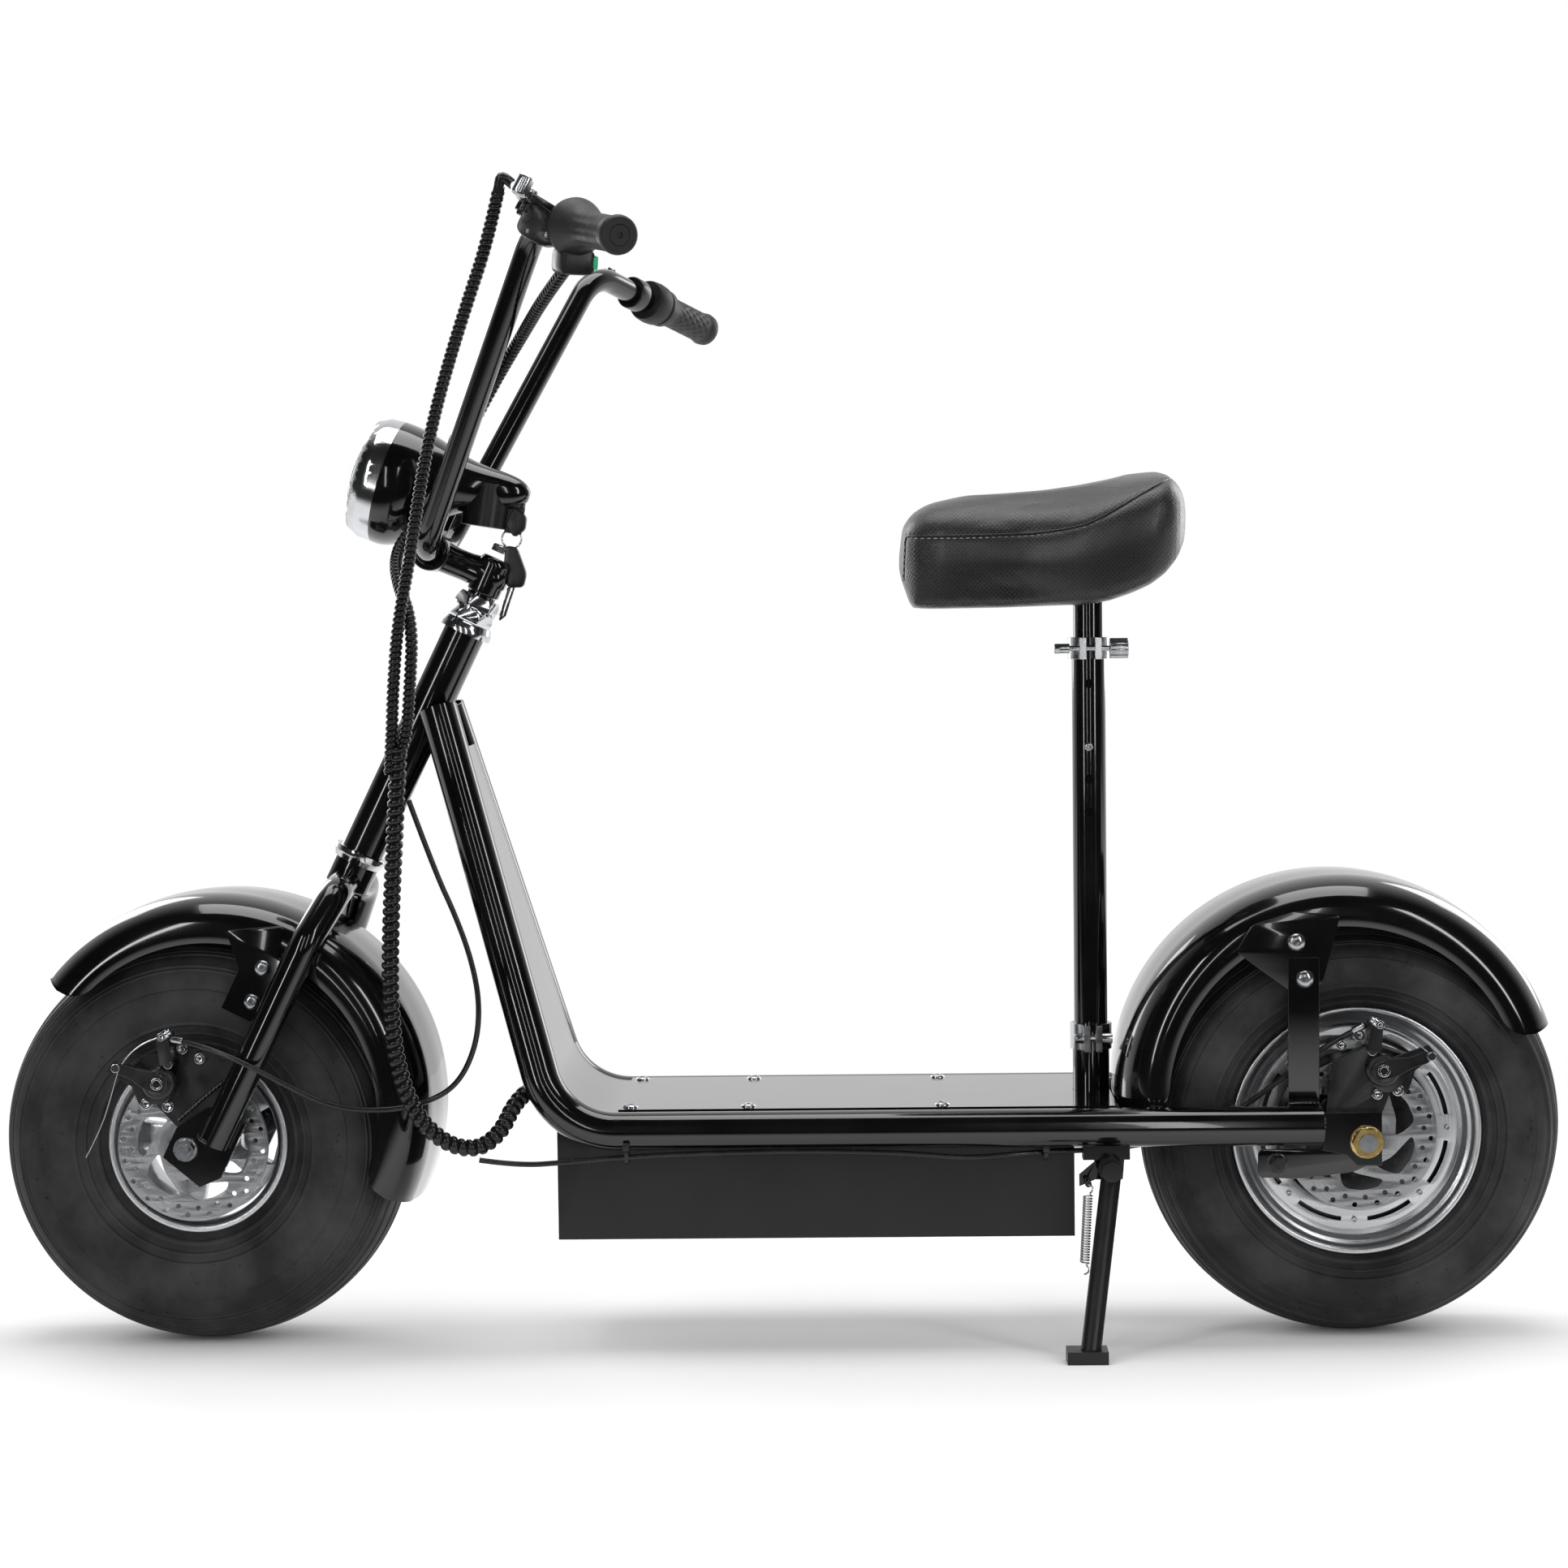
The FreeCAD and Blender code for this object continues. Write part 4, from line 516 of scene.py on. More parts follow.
# Screws and bolts: button heads with a hexagon socket, cap screws and flanged hexagon heads,
# cold forged and zinc plated. Each is turned from a profile whose rings may be hexagons.
def button_screw(radius, height, socket=0.42):
    """Domed head: a quarter ellipse, then a hexagon socket sunk to half its height"""
    t = np.linspace(0, np.pi / 2, 9)
    lip = radius * socket
    dome = [(radius * math.cos(a), height * math.sin(a)) for a in t if radius * math.cos(a) > lip * 1.25]
    rings = [(0, 0, 0), (radius, 0, 0)] + [(r, h, 0) for r, h in dome[1:]]
    top = rings[-1][1]
    return lathe(rings + [(lip * 1.12, top, 1), (lip, top - 0.3, 1), (lip, height * 0.45, 1),
                          (0, height * 0.42, 0)], 48)


def cap_screw(radius, height, socket=0.55):
    """Round head with an eased rim and a hexagon socket"""
    lip = radius * socket
    return lathe(eased([(0, 0, 0), (radius, 0, 0), (radius, height, 0), (lip * 1.1, height, 1),
                        (lip, height - 0.3, 1), (lip, height * 0.4, 1), (0, height * 0.38, 1)], 0.35), 48)


def hex_bolt(flats, height, flange=0.0, dome=0.0):
    """Hexagon head with chamfered corners, on a round flange if it has one"""
    half, corner = flats / 2, flats / math.sqrt(3)
    low = 1.6 if flange else 0.0
    rings = [(0, 0, 0)] + ([(flange, 0, 0), (flange, 0.8, 0), (corner * 1.02, low, 0)] if flange else [])
    rings += [(corner, low, 1), (corner, height - 1.0, 1), (half * 0.98, height, 0),
              (half * 0.6, height + dome, 0), (0, height + dome, 0)]
    return lathe(eased(rings, 0.3), 48)


def outward(x, y, z, part, turn=0.0):
    """Part set on the left side of the scooter, its head to the left"""
    return put(facing((x, y, z), (0, -1, 0)) @ about((0, 0, 1), turn), part)


def upward_from(x, y, z, part, turn=0.0):
    return put(facing((x, y, z), (0, 0, 1), (1, 0, 0)) @ about((0, 0, 1), turn), part)


DECK_TOP = 225.0
deck_spots = [(x, y) for x in (-131.0, -24.0, 152.0) for y in (-82.0, 82.0)]
built("deck_screws", "frame", zinc, *[
    upward_from(x, y, DECK_TOP, button_screw(7.0, 3.4), 17 * n) for n, (x, y) in enumerate(deck_spots)],
    slot="steel")
FENDER_SIDE = 90.2
built("rear_fender_bolts", "frame", zinc, *[
    put(facing((x, side * FENDER_SIDE, z), (0, side, 0)), button_screw(8.2, 5.2, 0.3))
    for x, z in ((471.4, 371.1), (479.0, 337.7)) for side in (-1, 1)], slot="steel")
built("front_fender_bolts", "steering", zinc, *[
    put(facing((x, side * 90.0, z), (0, side, 0)), button_screw(7.4, 4.6, 0.34))
    for x, z in ((-458.8, 354.3), (-469.3, 323.6)) for side in (-1, 1)], slot="steel")


# Weld beads: overlapping drops laid along the joints of the frame and the fork, under the enamel.
def bead(points, width=3.2, pitch=3.6):
    """Tube along a smooth path whose radius swells once for every drop"""
    length = np.linalg.norm(np.diff(np.array(points, float), axis=0), axis=1).sum()
    path = smoothed(points, max(12, int(length / pitch * 6)))
    swell = width / 2 * (0.78 + 0.3 * np.abs(np.sin(np.linspace(0, length / pitch * np.pi, len(path)))))
    return tube(path, swell, 10)


def ring_bead(frame_, radius, start, end, width=3.2, height=0.0, count=9):
    """Bead round part of a circle in a frame"""
    turn = np.radians(np.linspace(start, end, count))
    spots = np.column_stack([radius * np.cos(turn), radius * np.sin(turn), np.full(count, height)])
    return bead(spots @ frame_[:3, :3].T + frame_[:3, 3], width)


head_joints = [bead([(-302 + 14 * t, side * (19 + 3 * t), 590 - 44 * t) for t in np.linspace(0, 1, 7)], 4.2)
               for side in (-1, 1)]
joints = head_joints + [
    bead([(463.8, side * 91.5, 224.5), (472, side * 92.5, 225.2), (482, side * 92.5, 225.2),
          (492, side * 91.5, 224.6)], 4.0) for side in (-1, 1)]
joints += [bead([(491.5, side * 112, 199), (493.5, side * 113, 207), (492.5, side * 112, 216)], 4.5)
           for side in (-1, 1)]
built("frame_welds", "frame", enamel, *joints, slot="frame_paint")
LEG_FOOT = AXIS @ moved(5, -104, 17)
built("fork_welds", "steering", enamel,
      bead([(-539, -90.6, 216), (-525, -90.8, 228), (-511, -90.8, 240), (-498, -90.6, 250)], 4.6, 4.2),
      ring_bead(LEG_FOOT, 14.2, 100, 260, 3.8, 2.0),
      ring_bead(AXIS @ moved(5, 104, 17), 14.2, -80, 80, 3.8, 2.0), slot="frame_paint")

# Tyres: tubeless fat tyres of black rubber, moulded, with thin rings round the sidewall, ribs near
# the shoulder and a few grooves round the tread.
rubber, tree, shader = material("moulded_tyre_rubber", Specular_IOR_Level=0.32)
roughened(tree, shader, 1.2, 0.04, 0.50, 0.66, patch_mm=45.0)
spot = add(tree, "ShaderNodeTexCoord").outputs["Object"]
smear = add(tree, "ShaderNodeTexNoise", {"Vector": spot, "Scale": 14.0, "Detail": 6.0, "Roughness": 0.62})
tinted(tree, shader, smear.outputs[0], "151516", "343435", 0.40, 0.74)
TYRE_HALF, TREAD_HALF, SIDE_STEPS = 73.0, 40.0, 230
RIBS = [
    # place from the crown to the bead, half width in mm, height in mm
    (0.0, 2.2, -2.6), (0.115, 1.9, -2.6), (0.225, 1.6, -2.2),
    (0.30, 1.1, -1.4), (0.335, 1.1, -1.4), (0.37, 1.2, -1.4),
    (0.45, 1.0, 1.0), (0.475, 0.8, 0.8), (0.60, 0.7, 0.7), (0.80, 1.4, 1.1), (0.86, 0.8, 0.8),
    (0.93, 2.4, 1.6),
]


def tyre_profile(outer, rim, wall=9.0):
    """Closed section: crown, shoulder and sidewall as a smooth curve, with rings raised on it"""
    drop = CROWN_RADIUS - math.sqrt(CROWN_RADIUS ** 2 - TREAD_HALF ** 2)
    low = rim + 3
    middle = (outer + low) / 2
    knots = np.array([
        (outer, 0), (outer - CROWN_RADIUS + math.sqrt(CROWN_RADIUS ** 2 - 400), 20),
        (outer - drop, TREAD_HALF), (outer - drop - 12, TREAD_HALF + (TYRE_HALF - TREAD_HALF) * 0.66),
        (middle, TYRE_HALF), ((middle + low) / 2 - 2, TYRE_HALF - 4), (low - 3, 52.0)])
    t = walked_along(knots)
    s = np.linspace(0, t[-1], SIDE_STEPS)
    half = np.column_stack([np.polyval(np.polyfit(t, knots[:, n], 5), s) for n in (0, 1)])
    slope = np.gradient(half, axis=0)
    normal = np.column_stack([slope[:, 1], -slope[:, 0]])
    normal /= np.linalg.norm(normal, axis=1, keepdims=True)
    lift = np.zeros(len(s))
    for centre, width, height in RIBS:
        lift += height * np.exp(-((s - centre * t[-1]) / width) ** 4)
    half = half + normal * lift[:, None]
    outside = np.vstack([half[::-1] * (1, -1), half[1:]])
    inside = outside - np.vstack([normal[::-1] * (1, -1), normal[1:]]) * wall
    return np.vstack([outside, inside[::-1]])


def nubs(wheel, radius_low, radius_high, sidewall, count, seed):
    """Short rubber whiskers left by the mould's vents, spread over the left sidewall"""
    draw = np.random.default_rng(seed)
    parts = []
    for turn, radius in zip(draw.uniform(0, 360, count), draw.uniform(radius_low, radius_high, count)):
        foot = moved(radius, 0, -np.interp(radius, *sidewall.T))
        place = about((0, 0, 1), turn) @ foot @ about((1, 0, 0), 180 + draw.uniform(-40, 40))
        parts.append(put(wheel @ place, lathe([(0.55, -0.8), (0.5, 1.0), (0.3, 2.0), (0, 2.1)], 8)))
    return parts


for word, wheel, outer, rim in (("front", FRONT_WHEEL, 190.0, 84.5), ("rear", REAR_WHEEL, 193.0, 114.5)):
    section = tyre_profile(outer, rim)
    surface = lathe(np.vstack([section, section[:1]]), 288)
    sidewall = np.abs(section[:SIDE_STEPS])
    sidewall = sidewall[np.argsort(sidewall[:, 0])]
    piece = built(f"{word}_tyre_rubber", f"{word}_wheel", rubber, put(wheel, surface),
                  *nubs(wheel, rim + 28, outer - 16, sidewall, 34, 7), slot="tyre_rubber")
    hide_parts(f"{word}_tyre")

# Rims: spun and turned aluminium, polished bright. The front one has five spokes in its barrel; the
# rear one is dished, with eight slots and eight small screws round the black hub motor.
def turned_metal(name, first, second, scale, depth, detail, low, high, **sockets):
    """Metal with the fine rings of a lathe or a grinder, which follow the turning UV map"""
    made, tree, shader = material(name, Metallic=1.0, **sockets)
    place = add(tree, "ShaderNodeUVMap", uv_map="turning").outputs[0]
    stretch = add(tree, "ShaderNodeMapping", {0: place, "Scale": scale}).outputs[0]
    rings = add(tree, "ShaderNodeTexNoise", {"Vector": stretch, "Scale": 1.0, "Detail": detail}).outputs[0]
    bump = add(tree, "ShaderNodeBump", {"Height": rings, "Distance": depth})
    tree.links.new(bump.outputs[0], shader.inputs["Normal"])
    drift = add(tree, "ShaderNodeMapRange", {0: rings, 1: 0.3, 2: 0.7, 3: low, 4: high})
    tree.links.new(drift.outputs[0], shader.inputs["Roughness"])
    tinted(tree, shader, rings, first, second)
    return made


rim_metal = turned_metal("polished_turned_aluminium", "BABCBF", "DCDDDF", (12.0, 1600.0, 1.0), 0.00001, 3.0,
                         0.24, 0.38)


def polar(corners, start):
    """Corners in x and y from pairs of a radius and an angle in degrees, turned by a start angle"""
    return [(r * math.cos(math.radians(a + start)), r * math.sin(math.radians(a + start))) for r, a in corners]


def mirrored_profile(left):
    """Left half of a closed section, with its mirror image for the right half"""
    left = np.array(left, float)
    return np.vstack([left, left[::-1] * (1, -1)])


front_lip = [(71.5, -8), (71.8, -36), (72.6, -45), (74.6, -50.5), (78.5, -54.2), (82.6, -54.6),
             (84.6, -53), (84.4, -50.6), (81.5, -49.5), (80.5, -44), (79.5, -20), (79.5, 0)]
barrel = mirrored_profile(eased(front_lip, 2.2, 5))
SPOKE_GAP = [(30, -22), (48, -25), (66, -26), (67, 0), (66, 26), (48, 25), (30, 22), (28, 0)]
windows = [rounded(polar(SPOKE_GAP, 72 * k), 5) for k in range(5)]
hub = lathe(eased([(6.1, -68.8), (20, -68.8), (22, -66), (22, -30), (27, -12), (27, 12), (22, 30), (22, 66),
                   (20, 67), (6.1, 67), (6.1, 60), (6.1, -60), (6.1, -68.8)], 1.0), 72)
piece = built("front_rim_spun", "front_wheel", rim_metal,
              put(FRONT_WHEEL, lathe(np.vstack([barrel, barrel[:1]]), 160)),
              put(FRONT_WHEEL, pierced([circle(72.4, 120)] + windows, 14, 1.0)), slot="aluminium")
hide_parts("front_rim")
built("front_hub", "front_wheel", cast, put(FRONT_WHEEL, hub), slot="cast_black")

rear_section = [(79.5, 0), (90, -22), (92.2, -37.6), (99.4, -40.2), (100.4, -44.5), (101, -48.2),
                (105.5, -50.4), (107.4, -53.2), (110.6, -55.6), (113.6, -55.2), (114.8, -53),
                (114.5, -50.6), (111.4, -49.6), (110, -44), (104, -24), (104, 0)]
bowl = mirrored_profile(eased(rear_section, 1.4, 5))


def arc_slot(low, high, start, end, count=14):
    """Closed outline between two radii and two angles"""
    turn = np.radians(np.linspace(start, end, count))
    inner = np.column_stack([low * np.cos(turn), low * np.sin(turn)])
    outer = np.column_stack([high * np.cos(turn[::-1]), high * np.sin(turn[::-1])])
    return np.vstack([inner, outer])


slots = [arc_slot(82.4, 87.0, 45 * k + 8, 45 * k + 37) for k in range(8)]
step_ring = pierced([circle(93.6, 128), circle(73, 96)[::-1]] + slots, 2.4, 0.4)
piece = built("rear_rim_spun", "rear_wheel", rim_metal,
              put(REAR_WHEEL, lathe(np.vstack([bowl, bowl[:1]]), 192)),
              put(REAR_WHEEL @ moved(0, 0, -38.2), step_ring), put(REAR_WHEEL @ moved(0, 0, 38.2), step_ring),
              slot="aluminium")
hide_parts("rear_rim")
cover = [(8.1, -68.8), (22, -68.8), (23, -66), (23, -46), (34, -43), (38, -39), (66, -37), (72.5, -35),
         (88.5, -34), (89, -30), (89, 30), (88.5, 34), (72.5, 35), (66, 37), (38, 39), (34, 43), (23, 46),
         (23, 64), (22, 67), (8.1, 67), (8.1, 0), (8.1, -68.8)]
built("hub_motor", "rear_wheel", cast, put(REAR_WHEEL, lathe(eased(cover, 1.0), 96)), slot="cast_black")
built("rim_screws", "rear_wheel", zinc, *[
    put(REAR_WHEEL @ about((0, 0, 1), 45 * k) @ moved(84.7, 0, side * 39.4) @ about((1, 0, 0), 90 - 90 * side),
        cap_screw(2.6, 2.2)) for k in range(8) for side in (-1, 1)], slot="steel")

# Brake discs: 140 mm, stamped from 2 mm stainless steel, with two rows of small holes and six swept
# windows. Each is held to its hub by six button screws.
brushed = turned_metal("ground_stainless_steel", "7F8082", "A6A7A9", (30.0, 2600.0, 1.0), 0.00003, 4.0,
                       0.26, 0.42, Anisotropic=0.5)
WINDOW = [(32, 162), (40, 155), (48, 148), (51.5, 142), (51.8, 125), (51.5, 109), (47.5, 100),
          (40.5, 113), (36, 134)]


def disc_plate(start):
    """Outline, hub hole, two rows of holes and six windows"""
    loops = [circle(70, 144), circle(15, 48)]
    for row, offset in ((64.8, 0), (58.3, 9)):
        loops += [circle(2.45, 16, (row * math.cos(a), row * math.sin(a)))
                  for a in np.radians(np.arange(20) * 18 + offset + start)]
    loops += [rounded(polar(WINDOW, 60 * k + start), 4.0, 5) for k in range(6)]
    return pierced(loops, 2.2, 0.12)


DISC_OFFSET = 70.0
for word, wheel, start in (("front", FRONT_WHEEL, 5.0), ("rear", REAR_WHEEL, 22.0)):
    piece = built(f"{word}_disc_plate", f"{word}_wheel", brushed,
                  put(wheel @ moved(0, 0, -DISC_OFFSET), disc_plate(start)), slot="steel")
    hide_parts(f"{word}_disc")
    built(f"{word}_disc_screws", f"{word}_wheel", cast, *[
        put(wheel @ about((0, 0, 1), 60 * k + start) @ moved(18.8, 0, -71.0) @ about((1, 0, 0), 180),
            button_screw(3.4, 2.0)) for k in range(6)], slot="steel")

# Calipers: cast bodies with a turned barrel, socket screws, a forged arm that pinches the bare
# cable, and a barrel adjuster in the stop. Bolted to a plate on the fork leg and on the dropout.
UPENDED = np.array([[1, 0, 0, 0], [0, 0, -1, 0], [0, 1, 0, 0], [0, 0, 0, 1.0]])
ARM_LEVEL, BARREL_LEVEL, WIRE_LEVEL, SCREW_LEVEL, LEFT_OF_ALL = -108.5, -102.5, -110, -90.3, -170
ARM_SHAPE = [(-9, -7), (8, -9), (26, -5.5), (40, -5.5), (44, -2), (44, 3), (40, 6), (26, 4.5), (8, 9), (-9, 7)]
DIAL = [(0, 0), (15.5, 0), (15.5, 6), (13, 8.5), (10.5, 8.5), (10, 10.5), (6.2, 11.5), (6.2, 9.6), (0, 9.4)]
DIAL_SCREW = [(0, 0), (5.6, 0), (5.6, 2.6), (3.4, 2.6), (3.2, 1.0), (0, 0.8)]
ADJUSTER = [(0, 0), (3.4, 0), (3.4, 3), (4.6, 3), (4.6, 8), (3.0, 8), (3.0, 13), (0, 13)]
CALIPERS = [
    # name, body, carrier, the arm's way, barrel, arm end, cable stop, screws with their radius
    ("front", "steering", "fork_leg_left", -1, (-552.4, 251.7), (-589.0, 266.5), (-547.0, 294.6),
     [(-533.6, 281.5, 4.6), (-517.5, 272.3, 4.4), (-567.6, 231.1, 4.6), (-547.5, 228.6, 4.6)]),
    ("rear", "frame", "rear_dropouts", 1, (546.2, 257.1), (588.0, 270.2), (542.5, 299.0),
     [(527.1, 286.6, 4.6), (511.3, 277.6, 4.0), (541.4, 234.9, 4.2), (561.8, 236.4, 4.6)]),
]


def outer_skin(x, z, body, *names):
    """Outermost y of some CAD pieces at a spot of the upright scooter, seen from its left side"""
    place = Matrix(STANCE[body].tolist())
    start, way = place @ Vector((x, LEFT_OF_ALL, z)), (place.to_3x3() @ Vector((0, 1, 0))).normalized()
    met = []
    for mesh in [frame["nodes"][name].data for name in names]:
        tree = BVHTree.FromPolygons([corner.co for corner in mesh.vertices],
                                    [face.vertices for face in mesh.polygons])
        met.append(tree.ray_cast(start, way)[0])
    return min([(place.inverted() @ spot).y for spot in met if spot], default=SCREW_LEVEL)


for word, body, carrier, way, (bx, bz), (ax, az), (sx, sz), screws in CALIPERS:
    swing = Vector((ax - bx, 0, az - bz)).normalized()
    side_way = Vector((-swing.z, 0, swing.x))
    spine = [(bx + swing.x * d + side_way.x * w, bz + swing.z * d + side_way.z * w) for d, w in ARM_SHAPE]
    arm = put(moved(0, ARM_LEVEL, 0) @ UPENDED, slab(rounded(spine, 3, 4), 0, 5.5))
    dial = outward(bx, BARREL_LEVEL, bz, lathe(eased(DIAL, 0.8), 72))
    piece = built(f"{word}_caliper_arm", body, cast, arm, dial, slot="cast_black")
    bevel = piece.modifiers.new("eased_edges", "BEVEL")
    bevel.width, bevel.segments, bevel.angle_limit = 0.0007, 2, math.radians(50)
    parts = [outward(x, outer_skin(x, z, body, f"{word}_caliper", carrier) + 0.3, z, cap_screw(r * 1.12, 5.0),
                     13 * n) for n, (x, z, r) in enumerate(screws)]
    run = (Vector((ax, WIRE_LEVEL, az)) - Vector((sx, WIRE_LEVEL, sz))).normalized()
    parts += [outward(bx, -111.6, bz, lathe(eased(DIAL_SCREW, 0.4), 40)),
              outward(ax, -113.0, az, hex_bolt(8, 4.5)),
              outward(bx - way * 9.5, -100.0, bz + 17, hex_bolt(8, 9.0)),
              put(facing((sx - run.x * 9, WIRE_LEVEL, sz - run.z * 9), run, (0, 1, 0)),
                  lathe(eased(ADJUSTER, 0.4), 32)),
              outward(sx, -112.0, sz, cap_screw(3.8, 4.0))]
    built(f"{word}_caliper_screws", body, chrome, *parts, slot="steel")

# Bare wire of the front and rear brakes: steel strand from the stop over the arm's pinch bolt, with a
# loose tail.
built("front_brake_wire", "steering", zinc, tube(smoothed(
    [(-546, -110, 295.0), (-560, -111, 291.4), (-576, -112.5, 280.6), (-587, -113.5, 266), (-593, -113.5, 245),
     (-604, -112, 212), (-619.6, -110, 184.7)], 80), 0.75, 8), slot="steel")
built("rear_brake_wire", "frame", zinc, tube(smoothed(
    [(540, -110, 298.0), (556, -111, 294), (574, -112.5, 284), (588, -113.5, 271), (597, -112, 260)], 60),
    0.75, 8), slot="steel")

# Grips: moulded rubber sleeves with a wide inner flange. The left one has shallow flutes, and the
# right one is the throttle, with rows of small dimples and a collar that turns.
GRIP_LENGTH, BAR_RADIUS, SLEEVE_BORE = 112.0, 11.1, 11.3
grip_rubber = finished("moulded_grip_rubber", "111112", "1B1B1C", 0.7, 0.02, 0.42, 0.58, patch_mm=12.0,
                       Specular_IOR_Level=0.4)


def grip_place(side, ahead):
    """Frame at an end of the handlebar, z along the grip and inwards, x nearest to a direction"""
    end = AXIS @ (36.4, side * 366.5, 894.5, 1)
    inner = AXIS @ (-63.2, side * 186.7, 888.5, 1)
    return facing(end[:3], (inner - end)[:3], ahead)


def fluted(height, angle):
    """Eight flutes, deepest half way along the sleeve"""
    window = np.clip((height - 13) / 6, 0, 1) * np.clip((78 - height) / 6, 0, 1)
    return 1 - 0.055 * window * (0.5 + 0.5 * np.cos(8 * angle)) ** 2


def dimpled(height, angle):
    """Staggered rows of oval dimples"""
    window = np.clip((height - 13) / 5, 0, 1) * np.clip((68 - height) / 5, 0, 1)
    wave = np.cos(12 * angle) * np.cos(height * 2 * np.pi / 13)
    return 1 - 0.05 * window * np.clip(wave, 0, 1) ** 0.7


FORWARD = axis_turn[:3, :3] @ (-1, 0, 0.25)
LEFT_GRIP, RIGHT_GRIP = grip_place(-1, FORWARD), grip_place(1, FORWARD)
left_sleeve = [(0, -0.8), (2.4, -0.8), (2.6, -2.4), (8.2, -2.4), (8.6, -2.0), (9.0, -2.4), (14.6, -2.4),
               (15.8, -1.2), (16.4, 3), (15.4, 8), (14.8, 14)]
left_sleeve += [(14.7 + 0.3 * math.sin(n), n) for n in np.arange(16, 74, 2.0)]
left_sleeve += [(16.2, 78), (19.5, 90), (24.0, 101), (24.9, 105), (24.4, 109), (22.5, 111.5),
                (SLEEVE_BORE, GRIP_LENGTH), (SLEEVE_BORE, 2), (0, 2)]
right_sleeve = [(0, -2.4), (14.6, -2.4), (15.8, -1.2), (16.5, 4), (15.5, 9)]
right_sleeve += [(15.0, n) for n in np.arange(11, 70, 1.5)]
right_sleeve += [(16.5, 76), (18.8, 80), (19.2, 87), (17.6, 88.5), (17.6, 91), (20.6, 92.5), (21.2, 100),
                 (20.6, 109), (19.5, GRIP_LENGTH), (SLEEVE_BORE, GRIP_LENGTH), (SLEEVE_BORE, 2), (0, 2)]
piece = built("grip_sleeves", "steering", grip_rubber,
              put(LEFT_GRIP, lathe(left_sleeve, 128, fluted)),
              put(RIGHT_GRIP, lathe(right_sleeve, 128, dimpled)), slot="grip_rubber")
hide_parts("grips")

# Brake levers: black cast clamp and perch, a bright forged blade with a thick tip, its pivot screw and
# the cable adjuster. The switch box hangs under the left one with its green button.
LEVER_BASE, CLAMP_WIDTH, LEVER_SWING = 125.0, 15, 13
lever_metal = finished("tumbled_forged_aluminium", "B6B8BB", "D2D3D5", 1.4, 0.008, 0.16, 0.26,
                       patch_mm=14.0, Metallic=1.0)


def cast_block(low, high, ease=3.0, rim=1.0):
    """Box between two corners whose sides are rounded and whose ends are bevelled"""
    (x0, y0, z0), (x1, y1, z1) = low, high
    outline = rounded([(x0, y0), (x1, y0), (x1, y1), (x0, y1)], ease, 5)
    points, faces, corners = pierced([outline], z1 - z0, rim)
    return points + (0, 0, (z0 + z1) / 2), faces, corners


def clamp_ring(outer, low, high):
    """Ring round the handlebar with eased edges"""
    return lathe(eased([(BAR_RADIUS, low), (outer, low), (outer, high), (BAR_RADIUS, high), (BAR_RADIUS, low)],
                       1.2), 64)


def oval(path, across, thick, sides=20):
    """Tube of elliptical section: half width in the plane of the path and half thickness"""
    angle = np.arange(sides) * 2 * np.pi / sides
    across = np.interp(np.linspace(0, 1, len(path)), np.linspace(0, 1, len(across)), across)[:, None]
    radius = across * thick / np.hypot(thick * np.sin(angle), across * np.cos(angle))
    return tube(path, radius, sides)


blade_way = [(38, 0, 134), (46, 0, 126), (52, 0, 112), (63, 0, 98), (70, 0, 80), (74, 0, 62), (75, 0, 50)]
LEFT_LEVER = LEFT_GRIP @ about((0, 0, 1), -LEVER_SWING)
RIGHT_LEVER = RIGHT_GRIP @ about((0, 0, 1), LEVER_SWING)
for side, word, place in ((-1, "left", LEFT_LEVER), (1, "right", RIGHT_LEVER)):
    perch = [clamp_ring(16.1, LEVER_BASE, LEVER_BASE + CLAMP_WIDTH),
             cast_block((10, -8, LEVER_BASE), (40, 8, LEVER_BASE + CLAMP_WIDTH)),
             put(facing((38, -9, 134), (0, 1, 0)),
                 lathe(eased([(0, 0), (7.5, 0), (7.5, 18), (0, 18)], 1.0), 40))]
    perch_piece = built(f"{word}_lever_perch", "steering", cast, *[put(place, part) for part in perch],
                        slot="cast_black")
    tip = lathe(eased([(0, -8.5), (7, -8.5), (7, 8.5), (0, 8.5)], 2.4, 6), 48)
    bladed = [oval(smoothed(blade_way, 60), [6.2, 5.4, 4.6, 5.0, 5.4], 3.2),
              put(facing((75, 0, 49), (0, 1, 0)), tip)]
    built(f"{word}_lever_blade", "steering", lever_metal, *[put(place, part) for part in bladed],
          slot="cast_black")
    pins = [put(facing((38, 9, 134), (0, 1, 0)), cap_screw(4.2, 3.0)),
            put(facing((38, -9, 134), (0, -1, 0)), hex_bolt(8, 3.2)),
            put(facing((16, 0, LEVER_BASE), (0, 0, -1)), cap_screw(3.0, 2.4))]
    built(f"{word}_lever_pins", "steering", zinc, *[put(place, part) for part in pins], slot="steel")
    if side < 0:
        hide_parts("brake_levers")
perch_side = [(-179.5, 1012), (-168, 1008), (-158, 1000), (-150, 979), (-165.6, 977.3), (-177, 982.9),
              (-184, 987.1), (-187.5, 992.4), (-184, 999)]
sheet, faces, corners = pierced([rounded(perch_side, 4)], 14, 2.0)
built("left_lever_bracket", "steering", cast, (np.column_stack(
    [sheet[:, 0], sheet[:, 2] - 268.5, sheet[:, 1]]), faces, corners), slot="cast_black")
built("left_bracket_rivets", "steering", zinc, outward(-179.5, -275.2, 988.5, button_screw(2.0, 1.2, 0.3)),
      outward(-163.5, -275.2, 984.8, button_screw(2.4, 1.4, 0.3)), slot="steel")
outlet = (LEFT_LEVER @ (38, 0, 138, 1))[:3]
